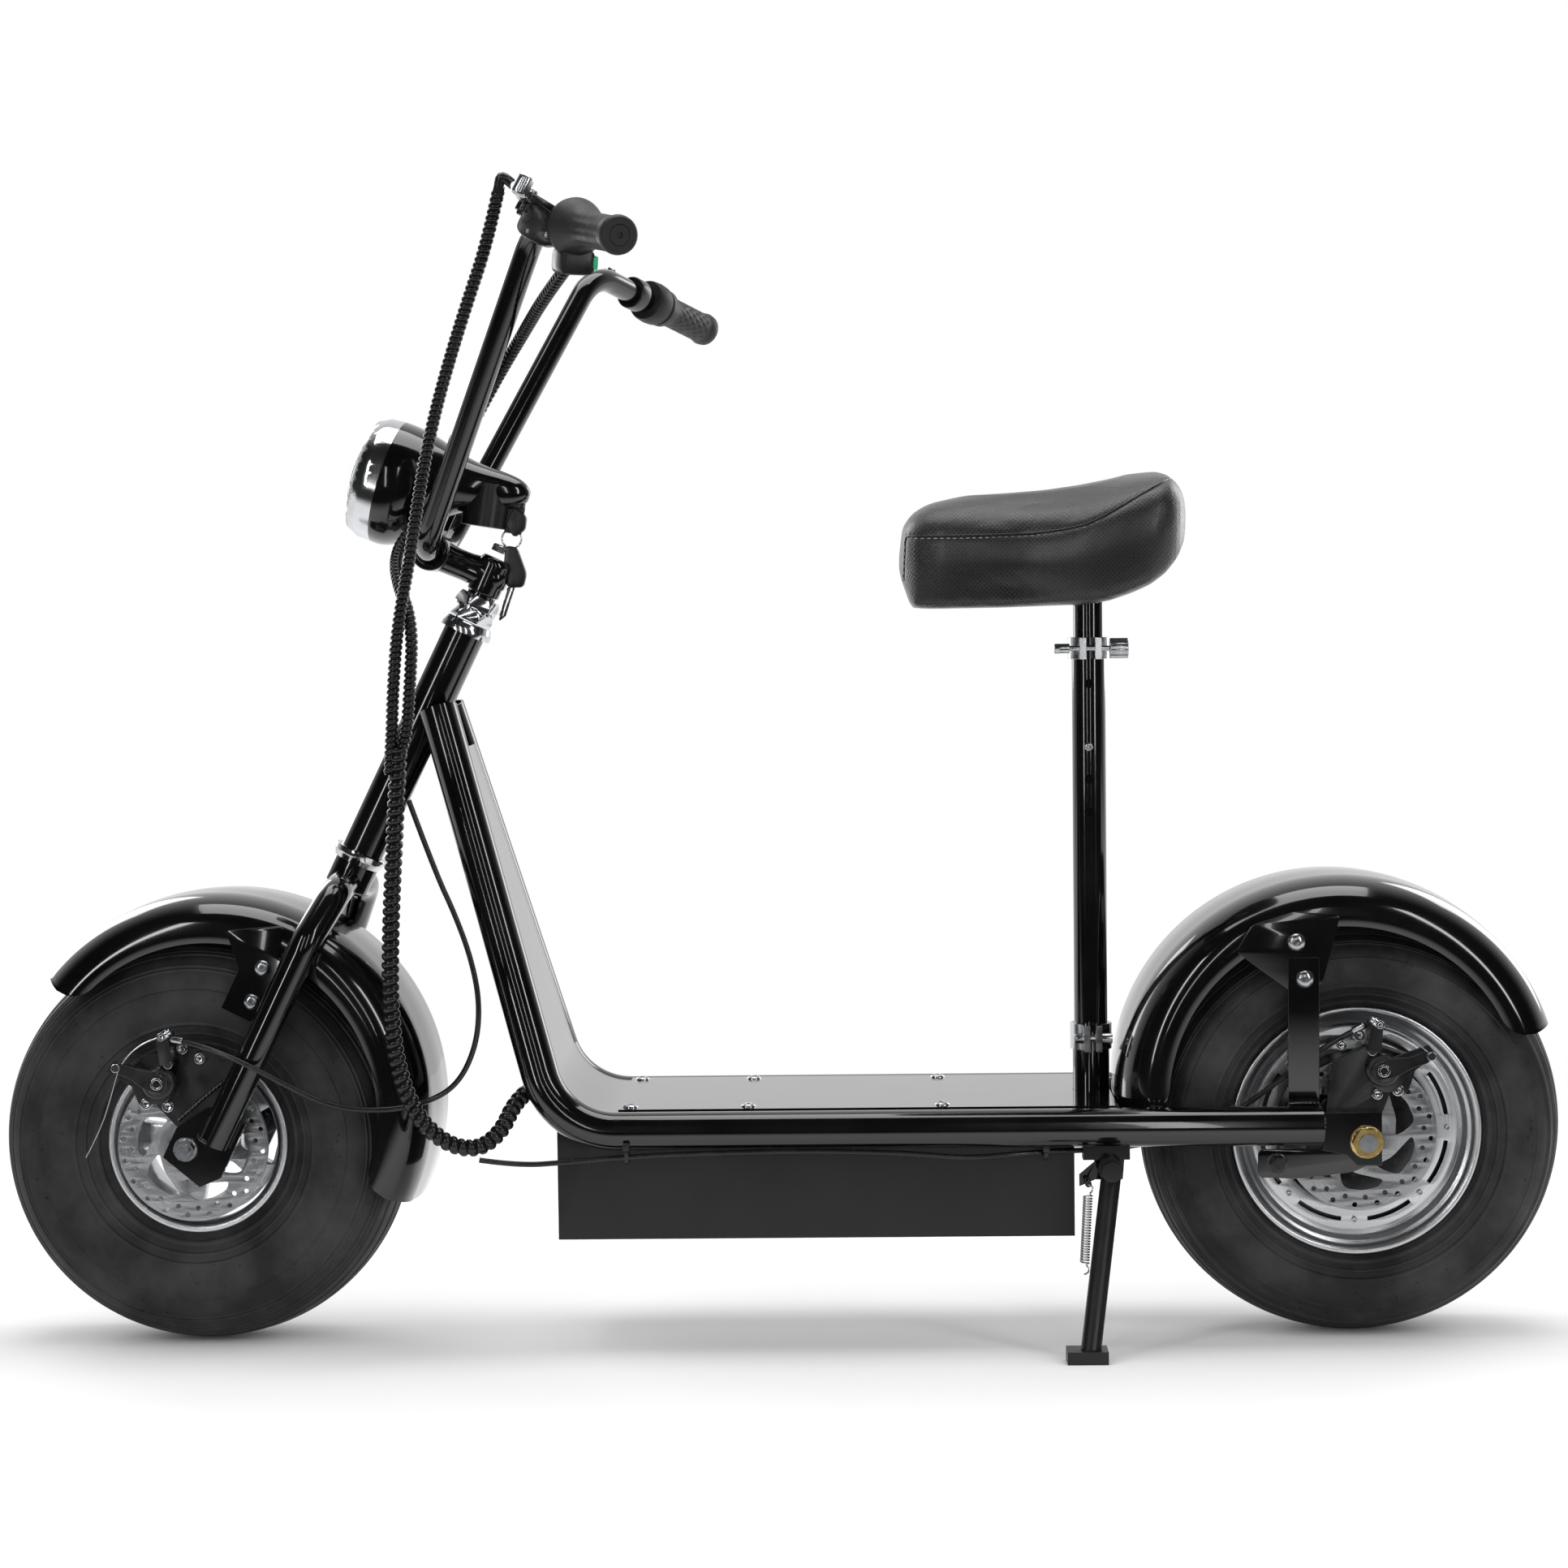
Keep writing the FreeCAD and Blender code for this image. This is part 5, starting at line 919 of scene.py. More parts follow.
built("cable_adjuster", "steering", cast, tube(smoothed(
    [outlet, outlet + (-1, 3, 6), (-201, -272, 1036.5), (-204, -269, 1030), (-205, -267, 1021)], 30), 4.4, 20),
    put(facing((-205, -267, 1022), (13, -17, 41)),
        lathe([(0, -6, 1), (5.4, -6, 1), (5.4, 5, 1), (0, 5, 1)], 24)),
    slot="cast_black")

button = finished("green_moulded_abs", "0F8F62", "16A574", 0.5, 0.01, 0.26, 0.36, patch_mm=8.0,
                  Specular_IOR_Level=0.5)
SWITCH = grip_place(-1, (0, 0, -1))
pod = [clamp_ring(15.1, 112.5, 123.5), cast_block((10, -9, 112.6), (32, 9, 123.4), 2),
       cast_block((20.0, -14, 97.5), (37.0, 12, 123.5), 4, 2.2)]
piece = built("switch_pod", "steering", plastic, *[put(SWITCH, part) for part in pod], slot="black_plastic")
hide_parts("switch_box")
key_way = facing((28.5, -13.2, 105.5), (0, -1, 0))
built("switch_button", "steering", button,
      put(SWITCH @ key_way, cast_block((-7, -5, 0), (7, 5, 5.6), 1.6, 0.8)), slot="black_plastic")

# Stem: a cast gooseneck from the steerer to the handlebar clamp, thicker towards both ends.
def necked(stations):
    """Tube through stations of an axis point and a radius, with a rounded end at the last one"""
    rings = np.array(stations, float)
    count = 48
    t = np.linspace(0, 1, len(rings))
    fine = np.linspace(0, 1, count)
    path = np.column_stack([np.interp(fine, t, rings[:, n]) for n in range(3)])
    radius = np.interp(fine, t, rings[:, 3])
    radius = np.convolve(np.pad(radius, 3, mode="edge"), np.ones(7) / 7, "valid")
    tip = np.clip((np.arange(count) - count + 8) / 7.5, 0, 1)
    return tube(path, radius * np.sqrt(1 - tip ** 2 * 0.93), 40)


STEM_LEVEL, STEM_REACH = 583.0, 57.7
clamp_barrel = put(moved(-STEM_REACH, 0, STEM_LEVEL) @ about((1, 0, 0), 90), lathe(eased(
    [(BAR_RADIUS, -19), (18.1, -19), (18.1, 19), (BAR_RADIUS, 19), (BAR_RADIUS, -19)], 2.0, 5), 72))
collar = lathe(eased([(11.5, 567.5), (15.9, 567.5), (15.9, 598), (13, 603), (0, 603), (0, 567.5)], 2.0, 5), 72)
quill = lathe([(0, 498), (11.5, 498), (11.5, 570), (0, 570)], 48)
neck = necked([(-STEM_REACH - 2, 0, STEM_LEVEL, 15.5), (-38, 0, STEM_LEVEL, 13.6),
               (-22, 0, STEM_LEVEL + 1, 13.6), (-8, 0, STEM_LEVEL + 2, 15.5), (17, 0, STEM_LEVEL + 2, 15.5)])
stem_parts = (clamp_barrel, collar, quill, neck)
piece = built("stem_casting", "steering", enamel, *[put(AXIS, part) for part in stem_parts], slot="cast_black")
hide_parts("stem")

# Fenders: pressed steel with a broad crown that rolls over to the sides in one curve, their lips turned
# in and their corners rounded.
FENDER_HALF, CROWN_HALF, FENDER_WALL, CORNER = 86.0, 36.0, 1.5, 30.0


def mudguard(spot, radius, start, end, rows=150, count=26):
    """Section turned about an axle line: a flat crown and a quarter ellipse that goes on 16 degrees past
    the vertical. It gets shorter near both ends, as a quarter circle does"""
    turn = np.radians(np.linspace(start, end, rows))
    from_end = np.minimum(turn - turn[0], turn[-1] - turn) * radius
    share = np.sqrt(1 - np.clip(1 - from_end / CORNER, 0, 1) ** 2)
    lowest = 90 - 106 * (0.62 + 0.38 * share)
    rings = []
    for a, low in zip(turn, lowest):
        half_turn = np.radians(np.linspace(90, low, count))
        y = np.concatenate([[0, CROWN_HALF * 0.5], CROWN_HALF + (FENDER_HALF - CROWN_HALF) * np.cos(half_turn)])
        r = np.concatenate([[radius + 1.5, radius + 1.1], radius - 34 + 34 * np.sin(half_turn)])
        nose = np.gradient(np.column_stack([y, r]), axis=0)
        nose = np.column_stack([nose[:, 1], -nose[:, 0]]) / np.linalg.norm(nose, axis=1, keepdims=True)
        nose[0] = (0, -1)
        inner = np.column_stack([y, r]) + nose * FENDER_WALL
        right = np.column_stack([y, r])
        outer = np.vstack([right[::-1] * (-1, 1), right[1:]])
        inner = np.vstack([inner[::-1] * (-1, 1), inner[1:]])
        loop = np.vstack([outer, inner[::-1]])
        rings.append(np.column_stack([loop[:, 1] * np.cos(a), loop[:, 0], loop[:, 1] * np.sin(a)]))
    grid = np.array(rings)
    middle = (grid + grid[:, ::-1]) / 2
    return skin(np.concatenate([middle[:1], grid, middle[-1:]]) + spot, around=True)


for name, body, spot, radius, start, end in (
        ("front_fender", "steering", (FRONT_AXLE[0] + 18, 0, FRONT_AXLE[2] + 31), 199.0, -26, 141),
        ("rear_fender", "frame", (REAR_AXLE[0] - 15, 0, REAR_AXLE[2] + 32.6), 202.0, 19, 184)):
    piece = built(name + "_pressing", body, enamel, mudguard(np.array(spot), radius, start, end),
                  slot="frame_paint")
    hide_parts(name)
rear_plate = [(417.9, 362.9), (440, 346), (466.5, 326.7), (475, 323.2), (483.5, 326.5), (494.8, 333.6),
              (503, 364), (510.5, 394.8), (470, 398), (432, 386)]
front_plate = [(-486.9, 317.6), (-480, 352), (-492, 388), (-440, 392), (-446.2, 357.1), (-467.6, 311.5)]
for name, body, outline in (("rear_fender_plates", "frame", rear_plate),
                            ("front_fender_plates", "steering", front_plate)):
    sheet, faces, corners = pierced([rounded(outline, 4)], 2.4, 0.4)
    sheet = np.column_stack([sheet[:, 0], sheet[:, 2], sheet[:, 1]])
    built(name, body, enamel, *[(sheet + (0, side * 87.8, 0), faces, corners) for side in (-1, 1)],
          slot="frame_paint")

# Headlamp: a clear moulded lens with vertical flutes inside, a vacuum coated reflector and its bulb.
LAMP = AXIS @ moved(-121.6, 0, 624) @ about((0, 1, 0), 82.3)
glass, tree, shader = material("clear_moulded_polycarbonate", Transmission_Weight=1.0, IOR=1.49,
                               Roughness=0.03)
shader.inputs["Base Color"].default_value = linear("F2F5F6")
mirror, tree, shader = material("vacuum_coated_reflector", Metallic=1.0, Roughness=0.08)
shader.inputs["Base Color"].default_value = linear("DFE1E3")
LENS_RADIUS, LENS_RISE, LENS_SPAN, LENS_STEPS, FLUTE_DEPTH, FLUTE_PITCH = 47.4, 12.0, 1.35, 144, 0.35, 5.0
lens_outer = [(LENS_RADIUS * math.sin(a) / math.sin(LENS_SPAN),
               -24.0 - LENS_RISE * (math.cos(a) - math.cos(LENS_SPAN)) / (1 - math.cos(LENS_SPAN)))
              for a in np.linspace(0, LENS_SPAN, 24)]
lens_inner = [(max(r - 1.6, 0), z + 2.0) for r, z in lens_outer]
dome, faces, corners = lathe(lens_outer + [(LENS_RADIUS, -22.2)] + lens_inner[::-1], LENS_STEPS)
inside = np.arange(len(dome)) >= LENS_STEPS * (len(lens_outer) + 1)
dome[inside, 2] += FLUTE_DEPTH * np.cos(dome[inside, 1] * 2 * np.pi / FLUTE_PITCH)
piece = built("lamp_lens", "steering", glass, put(LAMP, (dome, faces, corners)), slot="lens")
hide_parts("headlight_lens")
built("lamp_reflector", "steering", mirror, put(LAMP, lathe(
    [(47, -21.8), (42, -16), (34, -9.5), (24, -3), (12, 3), (6, 6), (0, 6), (0, 7.5), (12, 5), (36, -8),
     (47, -20)], 96)), slot="chrome")
built("lamp_bulb", "steering", glass, put(LAMP, lathe(eased(
    [(0, -14), (4.5, -12), (6, -6), (4.5, 2), (4.5, 5), (0, 5)], 1.5), 32)), slot="lens")

# Key: one key in the lock under the lamp, the split ring and the spare that hangs from it, of nickel
# plated brass with black heads.
head = rounded([(-244, 735.9), (-235.2, 734.3), (-226.9, 710.8), (-229.8, 699.1), (-243.1, 699.3),
                (-245.8, 716.9)], 3.5, 6)
first_head = rounded([(-236.1, 771.4), (-226, 763), (-227.5, 752), (-236.4, 745.5), (-243, 756)], 3.0, 6)


def standing(outline, half, rim=1.0):
    """Plate whose outline is in x and z, its middle on the scooter's mid plane"""
    points, faces, corners = pierced([outline], 2 * half, rim)
    return np.column_stack([points[:, 0], points[:, 2], points[:, 1]]), faces, corners


built("key_heads", "steering", plastic, standing(head, 3.4, 1.2), standing(first_head, 3.4, 1.2),
      slot="black_plastic")
turn = np.linspace(0, 2 * np.pi, 49)
ring_path = np.column_stack([-239.2 + 9 * np.cos(turn), 0.6 * np.cos(turn / 2), 743.2 + 9 * np.sin(turn)])
blade_outline = [(-243.4, 698.4), (-236.6, 699.2), (-245.9, 672.0), (-251.5, 667.6), (-252.6, 672.6),
                 (-249.6, 678), (-250.4, 682.5), (-247.6, 686), (-247.8, 690)]
built("key_blades", "steering", chrome, tube(ring_path, 1.0, 10), standing(blade_outline, 1.0, 0.2),
      slot="chrome")
built("stem_bolt", "steering", zinc, put(AXIS @ moved(-3, 0, 608.6), hex_bolt(12, 6.5, dome=0.6)), slot="steel")

# Wrapped cables: a spiral band of black polyethylene round the lever's and the switch's cable, and a
# thicker one round both together, which runs between the front end and the frame.
wrap = finished("spiral_wrapped_polyethylene", "08080A", "101011", 1.0, 0.01, 0.20, 0.30, patch_mm=12.0,
                Specular_IOR_Level=0.5)


def wrapped(points, radius, pitch, depth, sides=20):
    """Rounded band wound round a path: the radius falls to a groove once in every turn"""
    rough = smoothed(points, 200)
    length = np.linalg.norm(np.diff(rough, axis=0), axis=1).sum()
    path = smoothed(points, int(length / pitch * 9))
    walked = np.linspace(0, length / pitch, len(path))[:, None]
    phase = (walked - np.arange(sides)[None] / sides) % 1.0
    return tube(path, radius + 0.35 - depth * np.abs(2 * phase - 1) ** 2.6, sides)


LEVER_WAY = [
    (-205, -267, 1023), (-218, -250, 982), (-240, -227, 934), (-260, -204, 888), (-279, -182, 838),
    (-294, -164, 783), (-307, -150, 720), (-321, -139, 662), (-327, -133, 605), (-329, -130, 569),
    (-330, -131.5, 550), (-331, -131.5, 530)]
SWITCH_WAY = [
    (-151.7, -249.5, 959), (-174, -212, 942), (-204, -139, 919), (-231, -98, 890), (-248, -79, 867),
    (-266, -69, 839), (-287, -55, 796), (-304, -47.5, 771), (-325, -47, 751), (-336, -64, 729),
    (-328, -103, 703), (-308, -134, 665), (-312, -132, 606), (-315.5, -130, 567), (-322, -130.5, 548),
    (-327, -130, 532)]
LOOM_WAY = [
    (-329, -131, 557), (-333, -130, 500), (-337, -130, 442), (-340, -131, 384), (-341, -132, 326),
    (-337, -132, 275), (-322, -131, 229), (-295, -129, 201), (-266, -124, 194), (-246, -111, 208),
    (-236, -92, 231), (-221, -70, 243), (-198.4, -55, 241), (-182.4, -46, 224), (-178.4, -43, 206)]
for name, way, node_name in (("lever_cable_wrap", LEVER_WAY, "lever_harness"),
                             ("switch_cable_wrap", SWITCH_WAY, "switch_harness")):
    piece = built(name, "steering", wrap, wrapped(way, 5.5, 5.4, 1.9), slot="cable_plastic")
    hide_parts(node_name)
piece = built("loom_wrap", "frame", wrap, wrapped(LOOM_WAY, 7.6, 8.0, 2.6, 24), slot="cable_plastic",
              rides=False)
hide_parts("loom")


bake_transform(piece)

# Brake cables: steel inside a smooth black jacket, with a ferrule at the stop and ties that hold the
# rear one along the left rail.
jacket = finished("black_pvc_jacket", "0A0A0B", "131314", 1.0, 0.006, 0.20, 0.32, patch_mm=15.0,
                  Specular_IOR_Level=0.5)
FRONT_WAY = [
    (-316, -124.5, 507), (-293, -123, 442), (-276, -124, 405), (-262, -123, 365), (-255, -122, 325),
    (-260, -116, 285), (-278, -111, 250), (-308, -108, 233), (-349, -116, 227), (-393, -126, 233),
    (-437, -127, 256), (-477, -125, 276), (-512, -118, 288), (-540, -109.4, 292)]
REAR_WAY = [
    (-264, -131, 186.5), (-229, -125, 180), (-185, -120, 182), (-134, -118.5, 185.7), (-83, -118, 188),
    (-32, -118, 189.3), (19, -118, 189.8), (70, -118, 189.2), (121, -118, 187.2), (172, -117, 182),
    (215, -111, 184), (245, -98, 184), (272, -93, 184), (303, -92, 185), (340, -86, 189),
    (380, -81.5, 198), (415, -81.5, 214), (446, -81.5, 236), (480, -81, 262), (508, -86, 282),
    (532.6, -95, 296.3)]
whole = smoothed(FRONT_WAY, 240)
apex = int(np.argmax(whole[:, 0]))
upper = built("front_cable_upper", "steering", jacket, tube(whole[:apex + 1], 2.5, 14), slot="cable_plastic",
              rides=False)
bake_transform(upper)
lower = built("front_cable_lower", "steering", jacket, tube(whole[apex:][::-1], 2.5, 14), slot="cable_plastic",
              rides=False)
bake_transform(lower)
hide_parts("front_brake_cable")
piece = built("rear_cable_jacket", "frame", jacket, tube(smoothed(REAR_WAY, 420), 2.5, 14),
              slot="cable_plastic")
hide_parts("rear_brake_cable")
ferrule = lathe(eased([(0, 0), (3.4, 0), (3.4, 11), (2.6, 12), (0, 12)], 0.4), 28)
built("front_cable_ferrule", "steering", zinc,
      put(facing((-527, -114, 290.6), (-13, 4.6, 1.5)), ferrule), slot="steel")
built("rear_cable_ferrule", "frame", zinc,
      put(facing((522, -91, 290.4), (24.6, -9, 14.3)), ferrule), slot="steel")


def tie_loop(centre, radius_y, radius_z, width=3.6):
    """Flat nylon band round a bundle, with its lock outside"""
    turn = np.linspace(0, 2 * np.pi, 41)[:-1]
    loops = [np.column_stack([np.full(40, x), centre[1] + (radius_y + lift) * np.cos(turn),
                              centre[2] + (radius_z + lift) * np.sin(turn)])
             for x, lift in ((-width / 2, 0), (-width / 2, 1.1), (width / 2, 1.1), (width / 2, 0))]
    points = np.stack(loops) + (centre[0], 0, 0)
    return skin(points, around=True, along=True)


TIES = [
    # middle of the loop, its half width and half height, place of its lock
    ((-132.8, -111.5, 190), 9.6, 11, (-132.8, -121.8, 196)),
    ((244.4, -98.5, 184.5), 7, 7, (244.4, -106, 189)),
    ((413.5, -81.5, 207), 18.6, 18.6, (413.5, -100.5, 207)),
]
lock = cast_block((-3.2, -2.6, -1), (3.2, 2.6, 3.2), 0.8, 0.4)
built("cable_ties", "frame", plastic, *[tie_loop(*tie[:3]) for tie in TIES],
      *[put(facing(tie[3], (0, -1, 0)), lock) for tie in TIES], slot="black_plastic")

# Saddle: a padded cushion of perforated black vinyl over its pan, fuller at the back, with one sewn
# seam along its upper edge. The foam is blown up by simulation from a slightly smaller form.
vinyl, tree, shader = material("perforated_black_vinyl", Specular_IOR_Level=0.5, Coat_Weight=0.25,
                               Coat_Roughness=0.26)
spot = add(tree, "ShaderNodeTexCoord").outputs["Object"]
side_of = add(tree, "ShaderNodeSeparateXYZ", {0: add(tree, "ShaderNodeNewGeometry").outputs["Normal"]}).outputs
DOT_PITCH, GRAIN_PITCH = 2.9, 0.9
holes = []
for angle in ((0, 0, math.pi / 4), (math.pi / 2, 0, 0), (0, math.pi / 2, 0)):
    flat_spot = add(tree, "ShaderNodeMapping", {0: spot, "Rotation": angle}).outputs[0]
    parts = add(tree, "ShaderNodeSeparateXYZ", {0: flat_spot}).outputs
    if angle[2] == 0:
        turned_spot = add(tree, "ShaderNodeCombineXYZ", {0: parts[0], 1: parts[1]}).outputs[0]
        turned_spot = add(tree, "ShaderNodeMapping",
                          {0: turned_spot, "Rotation": (0, 0, math.pi / 4)}).outputs[0]
        parts = add(tree, "ShaderNodeSeparateXYZ", {0: turned_spot}).outputs
    plane = add(tree, "ShaderNodeCombineXYZ", {0: parts[0], 1: parts[1]}).outputs[0]
    cell = add(tree, "ShaderNodeTexVoronoi", {"Vector": plane, "Scale": 1000 / DOT_PITCH, "Randomness": 0.0},
               voronoi_dimensions="2D").outputs["Distance"]
    holes.append(add(tree, "ShaderNodeMapRange", {0: cell, 1: 0.24, 2: 0.36},
                     interpolation_type="SMOOTHSTEP").outputs[0])
weights = [maths(tree, "POWER", maths(tree, "ABSOLUTE", side_of[axis]), 6.0) for axis in ("Z", "Y", "X")]
total = maths(tree, "ADD", maths(tree, "ADD", weights[0], weights[1]), weights[2])
open_share = maths(tree, "ADD", maths(tree, "ADD", maths(tree, "MULTIPLY", holes[0], weights[0]),
                                      maths(tree, "MULTIPLY", holes[1], weights[1])),
                   maths(tree, "MULTIPLY", holes[2], weights[2]))
skin_share = maths(tree, "DIVIDE", open_share, total)
grain = add(tree, "ShaderNodeTexVoronoi", {"Vector": spot, "Scale": 1000 / GRAIN_PITCH},
            feature="F1").outputs["Distance"]
height = maths(tree, "MULTIPLY_ADD", grain, 0.12, skin_share)
bump = add(tree, "ShaderNodeBump", {"Height": height, "Strength": 1.0, "Distance": 0.0014})
tree.links.new(bump.outputs[0], shader.inputs["Normal"])
# the holes are painted near black against the skin: painted shade inside the perforations
tinted(tree, shader, skin_share, "010101", "1F1F20", 0.2, 0.8)
patch = add(tree, "ShaderNodeTexNoise", {"Vector": spot, "Scale": 1000 / 40, "Detail": 4.0}).outputs[0]
drift = add(tree, "ShaderNodeMapRange", {0: patch, 1: 0.3, 2: 0.7, 3: 0.27, 4: 0.36})
tree.links.new(drift.outputs[0], shader.inputs["Roughness"])

SADDLE_TOP = [(118, 711.5), (118.6, 725), (121.4, 748.9), (126, 757), (132.7, 763.7), (142, 768.6),
              (151.5, 771.6), (177.7, 774.3), (215, 776), (252.5, 778.5), (284, 782.6), (312.3, 787.8),
              (338, 794.2), (352, 797.2), (361, 796.2), (370, 790), (375.6, 781.5), (379.4, 768),
              (380.7, 753.1)]
SADDLE_LOW = [(118, 711.5), (120.6, 700), (124.8, 688), (128.5, 679), (131.6, 674.6), (150, 674),
              (210, 674.4), (281.7, 676.4), (305, 679.6), (326.6, 686.8), (343, 693.6), (356.6, 703),
              (368, 716), (376.1, 731), (379.6, 742), (380.7, 753.1)]
PLAN = [(0, 0), (0.004, 0.2), (0.02, 0.42), (0.06, 0.53), (0.14, 0.62), (0.28, 0.685), (0.42, 0.74),
        (0.54, 0.84), (0.66, 0.955), (0.74, 0.992), (0.8, 1.0), (0.87, 0.975), (0.93, 0.9), (0.965, 0.78),
        (0.985, 0.6), (0.996, 0.34), (1, 0)]
SADDLE_SECTION = [(0, -1), (0.88, -1), (0.95, -0.55), (1.0, -0.1), (1.0, 0.25), (0.955, 0.5),
                  (0.86, 0.72), (0.66, 0.89), (0.36, 0.975), (0, 1.0)]
SADDLE_START, SADDLE_END, SADDLE_HALF, SADDLE_TUCK = 118.0, 380.7, 114.0, 1.5


def saddle_form(rows=120, columns=96, first=0.02):
    """Sections across the saddle, one outline as tall as its side view and as wide as its plan, closer
    together towards both ends"""
    share = (1 - np.cos(np.linspace(first, np.pi - first, rows))) / 2
    x = SADDLE_START + share * (SADDLE_END - SADDLE_START)
    top = np.interp(x, *np.array(SADDLE_TOP).T) - SADDLE_TUCK
    low = np.interp(x, *np.array(SADDLE_LOW).T)
    fine = np.linspace(0, 1, 601)
    wide = np.interp(fine, *np.array(PLAN).T)
    inner = np.convolve(np.pad(wide, 30, mode="edge"), np.hanning(61) / np.hanning(61).sum(), "valid")
    blend_in = np.clip(np.minimum(fine, 1 - fine) / 0.09, 0, 1)
    half = np.interp(share, fine, wide + (inner - wide) * blend_in) * SADDLE_HALF
    section = eased(np.vstack([SADDLE_SECTION, np.array(SADDLE_SECTION)[-2::-1] * (-1, 1)]), 0.16, 5)
    across, rise = spaced(section, columns + 1)[:-1].T
    middle, tall = (top + low) / 2, (top - low) / 2
    y = half[:, None] * across[None]
    z = middle[:, None] + tall[:, None] * rise[None]
    points = np.stack([np.repeat(x[:, None], columns, 1), y, z], -1)
    ends = [np.repeat(points[:1].mean(1, keepdims=True), columns, 1),
            np.repeat(points[-1:].mean(1, keepdims=True), columns, 1)]
    return skin(np.concatenate([ends[0], points, ends[1]]), around=True)


cushion = built("saddle_pad", "seat", vinyl, saddle_form(), slot="vinyl", sharp=180, rides=False)


def apply_modifiers(piece):
    """The piece's mesh with its modifiers applied, in place of the old one"""
    graph = bpy.context.evaluated_depsgraph_get()
    done = bpy.data.meshes.new_from_object(piece.evaluated_get(graph), depsgraph=graph)
    piece.modifiers.clear()
    piece.data = done


VOXEL, FULLEST, PAN_LEVEL, PAN_FADE, FOAM_FRAMES, SPREAD_ROUNDS = 0.0045, 0.005, 676.0, 14, 20, 60
voxels = cushion.modifiers.new("even_mesh", "REMESH")
voxels.mode, voxels.voxel_size, voxels.use_smooth_shade = "VOXEL", VOXEL, True
apply_modifiers(cushion)
before = spots_of(cushion.data)
blown = cushion.modifiers.new("foam", "CLOTH")
blown.settings.use_pressure, blown.settings.uniform_pressure_force = True, 4.0
blown.settings.effector_weights.gravity = 0
blown.settings.tension_stiffness = blown.settings.compression_stiffness = 30
blown.settings.bending_stiffness = 5
for step in range(1, FOAM_FRAMES + 1):
    scene.frame_set(step)
apply_modifiers(cushion)
scene.frame_set(1)
push = spots_of(cushion.data) - before
# the foam under the vinyl spreads each bulge: the push is averaged with its neighbours'
ends = np.zeros(len(cushion.data.edges) * 2, int)
cushion.data.edges.foreach_get("vertices", ends)
first, second = ends.reshape(-1, 2).T
around_count = np.bincount(ends, minlength=len(before))[:, None]
for step in range(SPREAD_ROUNDS):
    total_push = np.zeros_like(push)
    np.add.at(total_push, first, push[second])
    np.add.at(total_push, second, push[first])
    push = 0.4 * push + 0.6 * total_push / around_count
reach = np.linalg.norm(push, axis=1, keepdims=True)
push *= np.minimum(1, FULLEST / np.maximum(reach, 1e-9))
height = (before @ UPRIGHT[:3, :3].T + UPRIGHT[:3, 3])[:, 2:]
push *= np.clip((height - PAN_LEVEL) / PAN_FADE, 0, 1)
cushion.data.vertices.foreach_set("co", (before + push).ravel())
soft = cushion.modifiers.new("smooth_skin", "SUBSURF")
soft.levels = soft.render_levels = 1
apply_modifiers(cushion)
shaded(cushion.data, vinyl, 180)

SEAM = [(122.3, 700), (123.2, 722), (124.1, 740.5), (148, 740.2), (171.7, 739.9), (205, 740.2),
        (238.7, 741.2), (262, 743.6), (284.5, 748), (300, 755), (316.3, 764.4), (340, 778),
        (362.1, 789.2), (371, 788)]


def seam_line(side, count):
    """Spots of the seam on the cushion's skin, each met from outside along y"""
    hits = []
    into = Matrix(leaned.tolist())
    for x, z in spaced(np.array(SEAM), count):
        start = into @ Vector((x, side * 160.0, z))
        way = (into.to_3x3() @ Vector((0, -side, 0))).normalized()
        found, where = cushion.ray_cast(start, way)[:2]
        if found:
            hits.append(into.inverted() @ where)
    return np.array(hits)


bpy.context.view_layer.update()
seams = {side: seam_line(side, 260) for side in (-1, 1)}
skin_spots = spots_of(cushion.data)
upright = skin_spots @ UPRIGHT[:3, :3].T + UPRIGHT[:3, 3]
nearest = np.min([np.linalg.norm(upright[:, None] - line[None, ::3], axis=2).min(1) for line in seams.values()],
                 axis=0)
normals = np.zeros(len(skin_spots) * 3)
cushion.data.vertices.foreach_get("normal", normals)
skin_spots -= normals.reshape(-1, 3) * 0.0009 * np.exp(-(nearest / 3.0) ** 2)[:, None]
cushion.data.vertices.foreach_set("co", skin_spots.ravel())
cushion.data.update()
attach(cushion, "seat")
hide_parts("saddle_cushion")

thread = finished("black_polyester_thread", "6A6A6B", "808081", 0.4, 0.02, 0.42, 0.55, patch_mm=5.0,
                  Specular_IOR_Level=0.4)
stitches, welts = [], []
for side, line in seams.items():
    welts.append(tube(smoothed(line[::6] + (0, -side * 0.5, 0), 200), 0.8, 10))
    for n in range(3, len(line) - 3, 5):
        spots = line[n - 1:n + 3] + (0, side * 0.3, -2.6)
        stitches.append(tube(spots, [0.3, 0.6, 0.6, 0.3], 6))
built("saddle_welts", "seat", vinyl, *welts, slot="vinyl")
built("saddle_stitches", "seat", thread, *stitches, slot="vinyl")

# Seat clamp, collar and post fittings: turned and milled aluminium, a ribbed hand knob and its screw,
# and the row of height holes in the mast.
milled = finished("milled_aluminium", "BFC1C4", "D8D9DB", 0.6, 0.004, 0.14, 0.24, patch_mm=8.0,
                  Metallic=1.0)
POST_X, MAST_RADIUS, MAST_HIGH, SOCKET_RADIUS, SOCKET_HIGH = 293.0, 15.5, 646.0, 17.0, 288.0
dress(milled, "seat_clamp", "socket_collar", edge=0.5)
POST_RADIUS, POST_LOW, SADDLE_BOTTOM = 14.0, 440.0, 675.0
post_top = SADDLE_BOTTOM + 4
piece = built("seat_post_tube", "seat", enamel, put(moved(POST_X, 0, 0), lathe(
    [(12, POST_LOW), (POST_RADIUS, POST_LOW), (POST_RADIUS, post_top), (12, post_top), (12, POST_LOW)], 72)),
    slot="frame_paint")
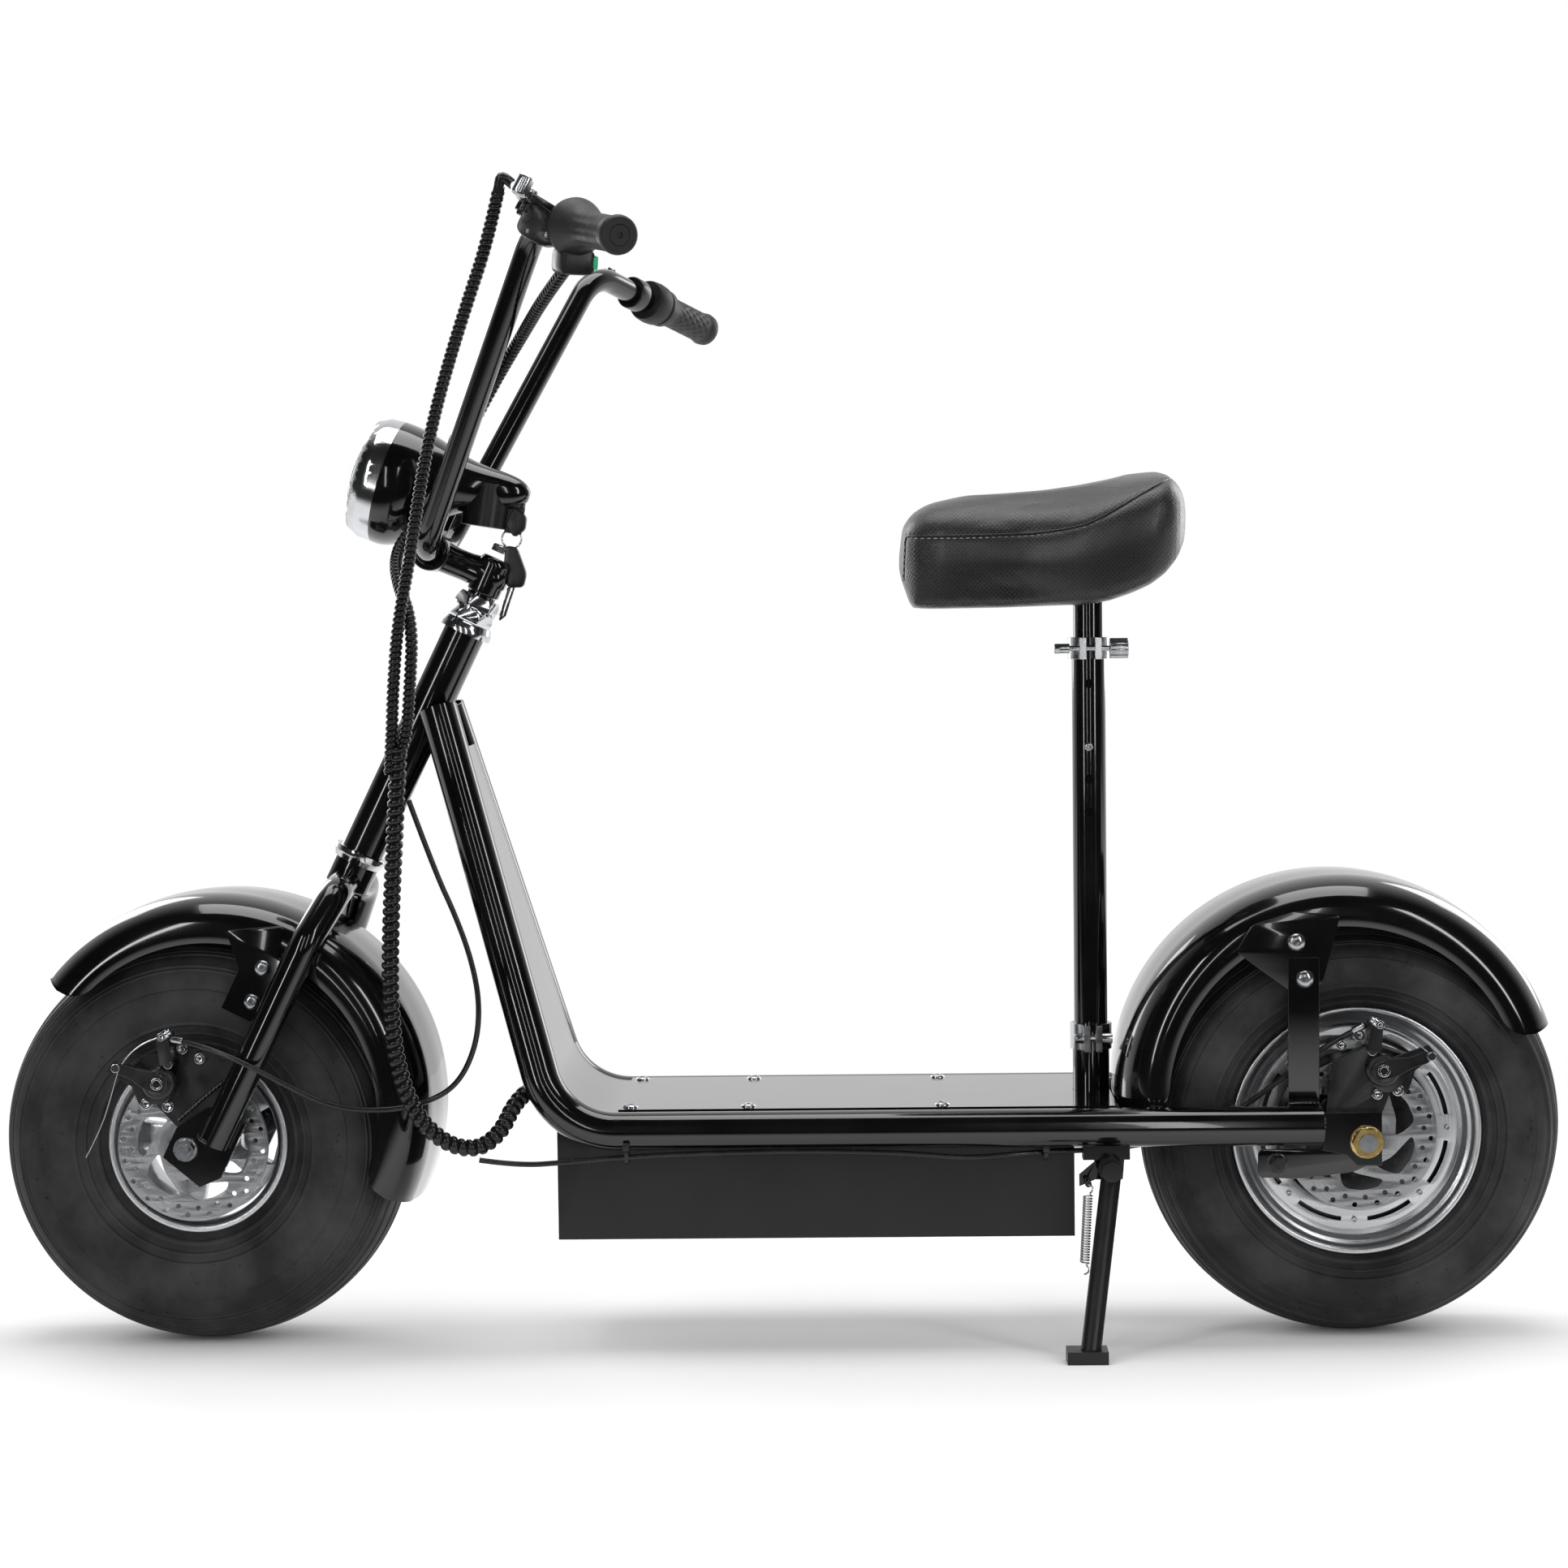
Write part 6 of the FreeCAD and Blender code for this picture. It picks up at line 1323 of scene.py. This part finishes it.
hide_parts("seat_post")


def knob_ripple(height, angle):
    """Sixteen ribs round a hand knob"""
    return 1 - 0.07 * (0.5 + 0.5 * np.cos(16 * angle)) ** 2


clamp_spot = np.array([POST_X, -MAST_RADIUS - 3.5 - 5, MAST_HIGH - 10])
built("clamp_knob", "frame", milled,
      put(facing(clamp_spot + (17.6, 0, 0), (1, 0, 0)),
          lathe(eased([(0, 0), (9.4, 0), (9.4, 17), (0, 17)], 1.2, 5), 128, knob_ripple)), slot="aluminium")
built("clamp_screws", "frame", zinc,
      put(facing(clamp_spot - (28.4, 0, 0), (-1, 0, 0)), hex_bolt(9, 4.5)),
      put(facing((POST_X - 12.4, -SOCKET_RADIUS - 7.2, SOCKET_HIGH - 12), (-1, 0, 0)), cap_screw(4.4, 4.5)),
      put(facing((POST_X + 12.2, -SOCKET_RADIUS - 7.2, SOCKET_HIGH - 12), (1, 0, 0)), hex_bolt(8, 3.6)),
      outward(291.7, -MAST_RADIUS + 0.4, 545.3, button_screw(4.2, 2.2, 0.4)), slot="steel")
hollow, tree, shader = material("shadow_inside_the_mast", Roughness=0.8, Specular_IOR_Level=0.1)
shader.inputs["Base Color"].default_value = linear("020202")
marks = [outward(x, -MAST_RADIUS - 0.05, z, lathe([(0, 0), (4.2, 0), (4.2, 0.35), (0, 0.35)], 32))
         for x, z in ((292.1, 603.6), (291.5, 515.6), (291.4, 485.4))]
built("mast_holes", "frame", hollow, *marks, slot="frame_paint")

# The saddle's pan, a moulded plate inside the cushion, just above its bottom.
pan = slab(rounded([(150, -40), (150, 40), (275, 50), (300, 40), (300, -40), (275, -50)], 12), 677.5, 682.0)
piece = built("saddle_pan", "seat", plastic, pan, slot="black_plastic")
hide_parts("saddle_base")

# Stand spring: a close coil of zinc plated wire with a hook at each end. It runs between the stand and
# the frame.
STAND_PIVOT = np.array([301.0, -112.0, 172.0])
SPRING_START = STAND_PIVOT + (-20.3, -13.2, -15.8)
SPRING_RUN = np.array([-6.0, -27.0, -68.0])
SPRING_WAY = SPRING_RUN / np.linalg.norm(SPRING_RUN)
COILS, COIL_RADIUS, COIL_START, COIL_LENGTH = 25, 3.7, 7.5, 60.0
turn = np.linspace(0, COILS * 2 * np.pi, COILS * 14 + 1)
along = np.linspace(COIL_START, COIL_START + COIL_LENGTH, len(turn))
coil = np.column_stack([COIL_RADIUS * np.cos(turn), COIL_RADIUS * np.sin(turn), along])
upper_hook = [(0.0, 0, -3.0), (3.0, 0, -2.0), (4.2, 0, 1.0), (3.0, 0, 4.0), (1.0, 0, 5.5), (2.6, 0, 6.8)]
lower_hook = [(2.6, 0, 68.2), (1.0, 0, 69.6), (3.0, 0, 71.0), (4.2, 0, 74.0), (3.0, 0, 77.0), (0.0, 0, 78.0)]
wire = np.vstack([smoothed(upper_hook, 14), coil, smoothed(lower_hook, 14)])
spring_frame = facing(SPRING_START, SPRING_WAY, (1, 0, 0))
piece = built("stand_spring_coil", "stand", zinc, put(spring_frame, tube(wire, 0.85, 8)), slot="steel",
              rides=False)
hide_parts("kickstand_spring")
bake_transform(piece)

# Torque arm: a flat bar under the left rail that keeps the hub motor's axle from turning, with its
# black nut.
torque_shape = [(436, 160), (470, 158.5), (520, 164), (546, 176), (546, 186), (516, 186), (470, 184),
                (436, 184)]
built("torque_arm", "frame", enamel, put(
    moved(0, -98.5, 0) @ UPENDED, pierced([rounded(torque_shape, 5)], 4.0, 0.6)), slot="frame_paint")
built("torque_nut", "frame", cast, outward(452.3, -100.4, 172.5, hex_bolt(13, 9, flange=9.5)), slot="steel")
